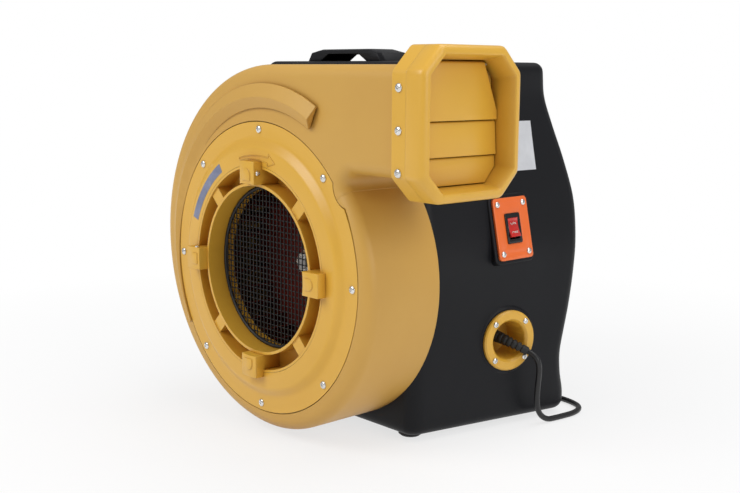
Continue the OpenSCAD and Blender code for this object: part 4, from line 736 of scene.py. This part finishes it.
def makeScrewTree():
    tree = bpy.data.node_groups.new("screwsOnPoints", "GeometryNodeTree")
    face = tree.interface
    for title, kind in (("Places", "NodeSocketGeometry"), ("Screw", "NodeSocketObject"),
                        ("Head Radius", "NodeSocketFloat"), ("Seed", "NodeSocketInt"),
                        ("Finish", "NodeSocketMaterial")):
        face.new_socket(title, in_out="INPUT", socket_type=kind)
    face.new_socket("Screws", in_out="OUTPUT", socket_type="NodeSocketGeometry")
    into, out = tree.nodes.new("NodeGroupInput"), tree.nodes.new("NodeGroupOutput")
    facing = addNode(tree, "GeometryNodeInputNamedAttribute", {"Name": "facing"}, data_type="FLOAT_VECTOR")
    aligned = addNode(tree, "FunctionNodeAlignRotationToVector", {"Vector": facing.outputs[0]}, axis="Z")
    spin = addNode(tree, "FunctionNodeRandomValue", {2: 0.0, 3: 6.283, "Seed": into.outputs["Seed"]},
                   data_type="FLOAT")
    about = addNode(tree, "FunctionNodeAxisAngleToRotation", {"Axis": (0, 0, 1), "Angle": spin.outputs[1]})
    turn = addNode(tree, "FunctionNodeRotateRotation", {0: aligned.outputs[0], 1: about.outputs[0]},
                   rotation_space="LOCAL")
    screw = addNode(tree, "GeometryNodeObjectInfo", {"Object": into.outputs["Screw"]})
    size = addNode(tree, "ShaderNodeCombineXYZ", {axis: into.outputs["Head Radius"] for axis in range(3)})
    put = addNode(tree, "GeometryNodeInstanceOnPoints", {
        "Points": into.outputs["Places"], "Instance": screw.outputs["Geometry"],
        "Rotation": turn.outputs[0], "Scale": size.outputs[0]})
    real = addNode(tree, "GeometryNodeRealizeInstances", {0: put.outputs[0]})
    done = addNode(tree, "GeometryNodeSetMaterial", {
        "Geometry": real.outputs[0], "Material": into.outputs["Finish"]})
    tree.links.new(done.outputs[0], out.inputs[0])
    return tree


screwShape, screwTree = makeScrewShape(screwValues), makeScrewTree()


def setInputs(modifier, tree, values):
    for item in tree.interface.items_tree:
        if getattr(item, "in_out", "") == "INPUT" and item.name in values:
            modifier[item.identifier] = values[item.name]


def makeScrews(name, places, headRadius, *replaced):
    mesh = bpy.data.meshes.new(name)
    mesh.from_pydata([p for p, d in places], [], [])
    store = mesh.attributes.new("facing", "FLOAT_VECTOR", "POINT")
    store.data.foreach_set("vector", [c for p, d in places for c in d])
    piece = bpy.data.objects.new(name, mesh)
    scene.collection.objects.link(piece)
    change = piece.modifiers.new("screws", "NODES")
    change.node_group = screwTree
    setInputs(change, screwTree, {"Screw": screwShape, "Head Radius": headRadius / 1000,
                                  "Seed": screwValues["seed"], "Finish": screwSteel})
    bpy.context.view_layer.update()
    settle(piece)
    return stand(piece, "screw_steel", *replaced)


def around(count, radius, first=0):
    return [(radius * math.cos(math.radians(first + k * 360 / count)),
             radius * math.sin(math.radians(first + k * 360 / count))) for k in range(count)]


def placesOn(matrix, spots):
    out = (matrix.to_3x3() @ Vector((0, 0, 1))).normalized()
    return [(matrix @ Vector((x, y, 0)), out) for x, y in spots]


forward, backward = Vector((0, -1, 0)), Vector((0, 1, 0))
screwSets = {"cover": (8, 170, 4.7), "collarX": 263, "collarSides": ((-21, forward), (129, backward)),
             "collarHeights": (137.5, 180.5, 223.5), "collarHead": 4.7, "plateX": (-22.5, 22.5),
             "plateY": (-31, 31), "plateHead": 3.8, "grommet": (4, 33, 45), "lugRadius": 118.5,
             "lugHalf": 14, "lugDepth": -13, "lugHead": 3.2}


def placeScrews(v):
    count, radius, head = v["cover"]
    makeScrews("coverScrews", [(fromFan(x, 0, z), forward) for x, z in around(count, radius)],
               head, "cover_screws")
    sides = [(fromFan(v["collarX"], y, z), way) for y, way in v["collarSides"] for z in v["collarHeights"]]
    makeScrews("collarScrews", sides, v["collarHead"], "collar_screws")
    corners = [(x, y) for x in v["plateX"] for y in v["plateY"]]
    makeScrews("plateScrews", placesOn(atSwitch, corners), v["plateHead"], "plate_screws")
    makeScrews("grommetScrews", placesOn(atGrommet, around(*v["grommet"])), v["plateHead"], "grommet_screws")
    lugs = []
    for turn in (0, 90, 180, 270):
        c, s = math.cos(math.radians(turn)), math.sin(math.radians(turn))
        r, half = v["lugRadius"], v["lugHalf"]
        lugs.append((fromFan(r * c + half * s, v["lugDepth"], r * s - half * c), Vector((s, 0, -c))))
    makeScrews("lugScrews", lugs, v["lugHead"], "lug_screws")


placeScrews(screwSets)
bpy.data.objects.remove(screwShape)
print("screws set")

# Guard: crossing wires cut to a circle, in a round rim
guardValues = {"radius": 101.7, "pitch": 7.0, "wire": 0.7, "rim": 2.2, "depth": 18}


def makeGuardTree():
    tree = bpy.data.node_groups.new("guardWires", "GeometryNodeTree")
    face = tree.interface
    for title, kind in (("Radius", "NodeSocketFloat"), ("Pitch", "NodeSocketFloat"),
                        ("Wire", "NodeSocketFloat"), ("Rim", "NodeSocketFloat"),
                        ("Rows", "NodeSocketInt"), ("Finish", "NodeSocketMaterial")):
        face.new_socket(title, in_out="INPUT", socket_type=kind)
    face.new_socket("Guard", in_out="OUTPUT", socket_type="NodeSocketGeometry")
    into, out = tree.nodes.new("NodeGroupInput"), tree.nodes.new("NodeGroupOutput")
    pitch, radius, wire = into.outputs["Pitch"], into.outputs["Radius"], into.outputs["Wire"]
    half = mathNode(tree, "MULTIPLY", mathNode(tree, "SUBTRACT", into.outputs["Rows"], 1), -0.5)
    start = addNode(tree, "ShaderNodeCombineXYZ", {0: mathNode(tree, "MULTIPLY", half, pitch)})
    step = addNode(tree, "ShaderNodeCombineXYZ", {0: pitch})
    row = addNode(tree, "GeometryNodeMeshLine", {
        "Count": into.outputs["Rows"], "Start Location": start.outputs[0],
        "Offset": step.outputs[0]}, mode="OFFSET")
    spot = addNode(tree, "ShaderNodeSeparateXYZ", {0: addNode(tree, "GeometryNodeInputPosition").outputs[0]})
    reach = mathNode(tree, "SUBTRACT", mathNode(tree, "MULTIPLY", radius, radius),
                     mathNode(tree, "MULTIPLY", spot.outputs[0], spot.outputs[0]))
    long = mathNode(tree, "MULTIPLY", mathNode(tree, "SQRT", mathNode(tree, "MAXIMUM", reach, 0.0)), 2.0)
    bar = addNode(tree, "GeometryNodeMeshCylinder", {"Vertices": 8, "Radius": wire, "Depth": 1.0})
    size = addNode(tree, "ShaderNodeCombineXYZ", {0: 1.0, 1: 1.0, 2: long})
    bars = addNode(tree, "GeometryNodeInstanceOnPoints", {
        "Points": row.outputs[0], "Instance": bar.outputs[0], "Scale": size.outputs[0]})
    behind = addNode(tree, "ShaderNodeCombineXYZ", {1: mathNode(tree, "MULTIPLY", wire, 1.6)})
    crossed = addNode(tree, "GeometryNodeTransform", {
        "Geometry": bars.outputs[0], "Translation": behind.outputs[0], "Rotation": (0, math.pi / 2, 0)})
    circle = addNode(tree, "GeometryNodeCurvePrimitiveCircle", {"Resolution": 120, "Radius": radius})
    section = addNode(tree, "GeometryNodeCurvePrimitiveCircle", {
        "Resolution": 12, "Radius": into.outputs["Rim"]})
    rim = addNode(tree, "GeometryNodeCurveToMesh", {
        "Curve": circle.outputs[0], "Profile Curve": section.outputs[0]})
    rimUp = addNode(tree, "GeometryNodeTransform", {
        "Geometry": rim.outputs[0], "Rotation": (math.pi / 2, 0, 0)})
    joined = addNode(tree, "GeometryNodeJoinGeometry")
    for part in (bars.outputs[0], crossed.outputs[0], rimUp.outputs[0]):
        tree.links.new(part, joined.inputs[0])
    real = addNode(tree, "GeometryNodeRealizeInstances", {0: joined.outputs[0]})
    done = addNode(tree, "GeometryNodeSetMaterial", {
        "Geometry": real.outputs[0], "Material": into.outputs["Finish"]})
    tree.links.new(done.outputs[0], out.inputs[0])
    return tree


def makeGuard(v):
    mesh = bpy.data.meshes.new("inletGuard")
    piece = bpy.data.objects.new("inletGuard", mesh)
    scene.collection.objects.link(piece)
    tree = makeGuardTree()
    change = piece.modifiers.new("wires", "NODES")
    change.node_group = tree
    rows = int(2 * v["radius"] / v["pitch"]) - 1
    setInputs(change, tree, {
        "Radius": (v["radius"] - v["rim"]) / 1000, "Pitch": v["pitch"] / 1000, "Wire": v["wire"] / 1000,
        "Rim": v["rim"] / 1000, "Rows": rows, "Finish": wireBlack})
    bpy.context.view_layer.update()
    settle(piece)
    piece.data.transform(Matrix.Translation(fromFan(0, v["depth"], 0)))
    shadeByAngle(piece.data, 50)
    return stand(piece, "mesh_wire", "inlet_guard")


makeGuard(guardValues)
print("guard woven")

# Raised outline of an arrow, a bare sticker on the cover and a bare label on the housing
coverValues = {"shoulderOut": 161, "shoulderIn": 146, "rise": 7}


def coverFront(radius, v=coverValues):
    share = (v["shoulderOut"] - radius) / (v["shoulderOut"] - v["shoulderIn"])
    share = min(max(share, 0), 1)
    return -v["rise"] * (1 - math.cos(math.pi * share)) / 2


arrowValues = {"radius": 137, "from": 103, "to": 79, "half": 3.4, "head": 7.5, "headLength": 5.5,
               "line": 0.7, "rise": 0.8}


def makeArrow(v):
    # the shaft follows the cover's round; its head is at the right
    def spot(angle, off):
        a = math.radians(angle)
        return Vector(((v["radius"] + off) * math.cos(a), 0, (v["radius"] + off) * math.sin(a)))
    sweep = v["from"] - v["to"]
    outline = [spot(v["from"] - sweep * k / 8, v["half"] * (0.35 + 0.65 * k / 8)) for k in range(9)]
    outline += [spot(v["to"], v["head"]), spot(v["to"] - v["headLength"], 0), spot(v["to"], -v["head"])]
    outline += [spot(v["to"] + sweep * k / 8, -v["half"] * (1 - 0.65 * k / 8)) for k in range(9)]
    points = [fromFan(p.x, -coverValues["rise"] - 0.1, p.z) for p in outline]
    bm = bmesh.new()
    count = len(points)
    rings = []
    for k, p in enumerate(points):
        a, b = (p - points[k - 1]).normalized(), (points[(k + 1) % count] - p).normalized()
        along = (a + b).normalized()
        side = Vector((along.z, 0, -along.x)) / max(along.dot(a), 0.5)
        w, h = v["line"] / 1000, v["rise"] / 1000
        rings.append([p + side * w + Vector((0, h / 2, 0)), p + side * w * 0.5 - Vector((0, h, 0)),
                      p - side * w * 0.5 - Vector((0, h, 0)), p - side * w + Vector((0, h / 2, 0))])
    rows = [[bm.verts.new(q) for q in ring] for ring in rings]
    for k in range(count):
        for j in range(4):
            n, m = (k + 1) % count, (j + 1) % 4
            bm.faces.new((rows[k][j], rows[n][j], rows[n][m], rows[k][m]))
    bmesh.ops.recalc_face_normals(bm, faces=bm.faces)
    return toObject("flowArrow", bm, coverYellow, 30)


stand(makeArrow(arrowValues), "yellow_plastic")

stickerValues = {"inner": 133, "outer": 144.5, "from": 121, "to": 159, "thick": 0.25}


def makeSticker(v):
    bm = bmesh.new()
    across, along = 6, 40
    grids = []
    for lift in (v["thick"], -0.3):
        grid = []
        for k in range(along + 1):
            a = math.radians(v["from"] + (v["to"] - v["from"]) * k / along)
            line = []
            for j in range(across + 1):
                r = v["inner"] + (v["outer"] - v["inner"]) * j / across
                line.append(bm.verts.new(fromFan(r * math.cos(a), coverFront(r) - lift, r * math.sin(a))))
            grid.append(line)
        grids.append(grid)
    top, low = grids
    for k in range(along):
        for j in range(across):
            bm.faces.new((top[k][j], top[k + 1][j], top[k + 1][j + 1], top[k][j + 1]))
            bm.faces.new((low[k][j], low[k][j + 1], low[k + 1][j + 1], low[k + 1][j]))
    rim = [e for e in bm.edges if len(e.link_faces) == 1]
    bmesh.ops.bridge_loops(bm, edges=rim)
    bmesh.ops.recalc_face_normals(bm, faces=bm.faces)
    return toObject("coverSticker", bm, stickerBlue, 60)


stand(makeSticker(stickerValues), "white_plastic")

labelValues = {"y0": 262, "y1": 319, "z0": 116, "z1": 178, "thick": 0.3}


def housingSide(y, z, v=housingValues):
    level = levelAt((z - v["base"]) / (v["top"] - v["base"]))
    front, rear = v["width"] / 2 * level[1], v["width"] / 2 * level[2]
    return front + (rear - front) * (y - v["front"]) / (v["depth"] * level[3])


def makeLabel(v):
    bm = bmesh.new()
    count = 14
    grids = []
    for lift in (v["thick"], -0.4):
        grids.append([[bm.verts.new(fromFan(housingSide(y, z) + lift, y, z)) for z in
                       [v["z0"] + (v["z1"] - v["z0"]) * j / count for j in range(count + 1)]] for y in
                      [v["y0"] + (v["y1"] - v["y0"]) * k / count for k in range(count + 1)]])
    top, low = grids
    for k in range(count):
        for j in range(count):
            bm.faces.new((top[k][j], top[k + 1][j], top[k + 1][j + 1], top[k][j + 1]))
            bm.faces.new((low[k][j], low[k][j + 1], low[k + 1][j + 1], low[k + 1][j]))
    bmesh.ops.bridge_loops(bm, edges=[e for e in bm.edges if len(e.link_faces) == 1])
    bmesh.ops.recalc_face_normals(bm, faces=bm.faces)
    return toObject("housingLabel", bm, labelPaper, 60)


stand(makeLabel(labelValues), "white_plastic")

# ON and OFF marks on the rocker, cut from a font as thin raised shapes
markValues = {"size": 6.2, "rise": 0.25}


def makeMark(text, centre, tilt):
    curve = bpy.data.curves.new("mark" + text.capitalize(), "FONT")
    curve.body, curve.size, curve.extrude = text, markValues["size"], markValues["rise"]
    curve.align_x, curve.align_y, curve.resolution_u = "CENTER", "CENTER", 3
    piece = bpy.data.objects.new("mark" + text.capitalize(), curve)
    scene.collection.objects.link(piece)
    bpy.context.view_layer.update()
    mesh = bpy.data.meshes.new_from_object(piece.evaluated_get(bpy.context.evaluated_depsgraph_get()))
    bpy.data.objects.remove(piece)
    mesh.transform(atSwitch @ Matrix.Translation(centre) @ Matrix.Rotation(math.radians(tilt), 4, "X"))
    mesh.materials.clear()
    mesh.materials.append(blockWhite)
    mark = bpy.data.objects.new("mark" + text.capitalize(), mesh)
    scene.collection.objects.link(mark)
    return stand(mark, "white_plastic", body="rocker")


makeMark("ON", (0, 6.4, 0.75), -17)
makeMark("OFF", (0, -6.4, 2.3), 3)
print("marks and labels placed")

# Floor, backdrop and lamps
stageValues = {"floor": (0.86, 0.86, 0.87), "nearWhite": 0.72, "nearEnd": 0.25, "farStart": 1.1,
               "worldLevel": 0.36, "lamps": [
    ("keyLamp", (-0.5, -2.1, 1.9), 1.5, 36), ("topLamp", (0.5, 0.5, 2.4), 1.8, 26),
    ("sideLamp", (2.3, 0.1, 1.1), 1.3, 17)]}


def addStage(v):
    bm = bmesh.new()
    bmesh.ops.create_grid(bm, x_segments=2, y_segments=2, size=30)
    mesh = bpy.data.meshes.new("floor")
    bm.to_mesh(mesh)
    bm.free()
    floor = bpy.data.objects.new("floor", mesh)
    floor.location.z = -0.0005
    scene.collection.objects.link(floor)
    material = bpy.data.materials.new("paleFloor")
    material.use_nodes = True
    tree = material.node_tree
    shader = tree.nodes["Principled BSDF"]
    shader.inputs["Base Color"].default_value = (*v["floor"], 1)
    shader.inputs["Roughness"].default_value = 0.7
    shader.inputs["Specular IOR Level"].default_value = 0
    path = tree.nodes.new("ShaderNodeLightPath")
    seen = mathNode(tree, "MAXIMUM", path.outputs["Is Camera Ray"],
                    mathNode(tree, "MAXIMUM", path.outputs["Is Glossy Ray"],
                             path.outputs["Is Transmission Ray"]))
    glow = addNode(tree, "ShaderNodeEmission", {"Color": (1, 1, 1, 1), "Strength": 1.0})
    # the floor turns wholly white away from the object, so it runs into the backdrop
    here = addNode(tree, "ShaderNodeTexCoord").outputs["Object"]
    away = addNode(tree, "ShaderNodeVectorMath", {0: here}, operation="LENGTH").outputs["Value"]
    whiteShare = addNode(tree, "ShaderNodeMapRange", {
        0: away, 1: v["nearEnd"], 2: v["farStart"], 3: v["nearWhite"], 4: 1.0}).outputs[0]
    mix = addNode(tree, "ShaderNodeMixShader", {0: mathNode(tree, "MULTIPLY", seen, whiteShare),
                                                1: shader.outputs[0], 2: glow.outputs[0]})
    tree.links.new(mix.outputs[0], tree.nodes["Material Output"].inputs["Surface"])
    mesh.materials.append(material)
    world = bpy.data.worlds.new("studio")
    scene.world = world
    world.use_nodes = True
    tree = world.node_tree
    back = tree.nodes["Background"]
    back.inputs["Color"].default_value = (1, 1, 1, 1)
    path = tree.nodes.new("ShaderNodeLightPath")
    seen = mathNode(tree, "MAXIMUM", path.outputs["Is Camera Ray"], path.outputs["Is Transmission Ray"])
    tree.links.new(mathNode(tree, "MAXIMUM", seen, v["worldLevel"]), back.inputs["Strength"])
    for name, place, size, power in v["lamps"]:
        light = bpy.data.lights.new(name, "AREA")
        light.energy, light.size = power, size
        lamp = bpy.data.objects.new(name, light)
        lamp.location = place
        aim = Vector((0, 0, 0.22)) - Vector(place)
        lamp.rotation_euler = aim.to_track_quat("-Z", "Y").to_euler()
        scene.collection.objects.link(lamp)


addStage(stageValues)
print("stage lit")
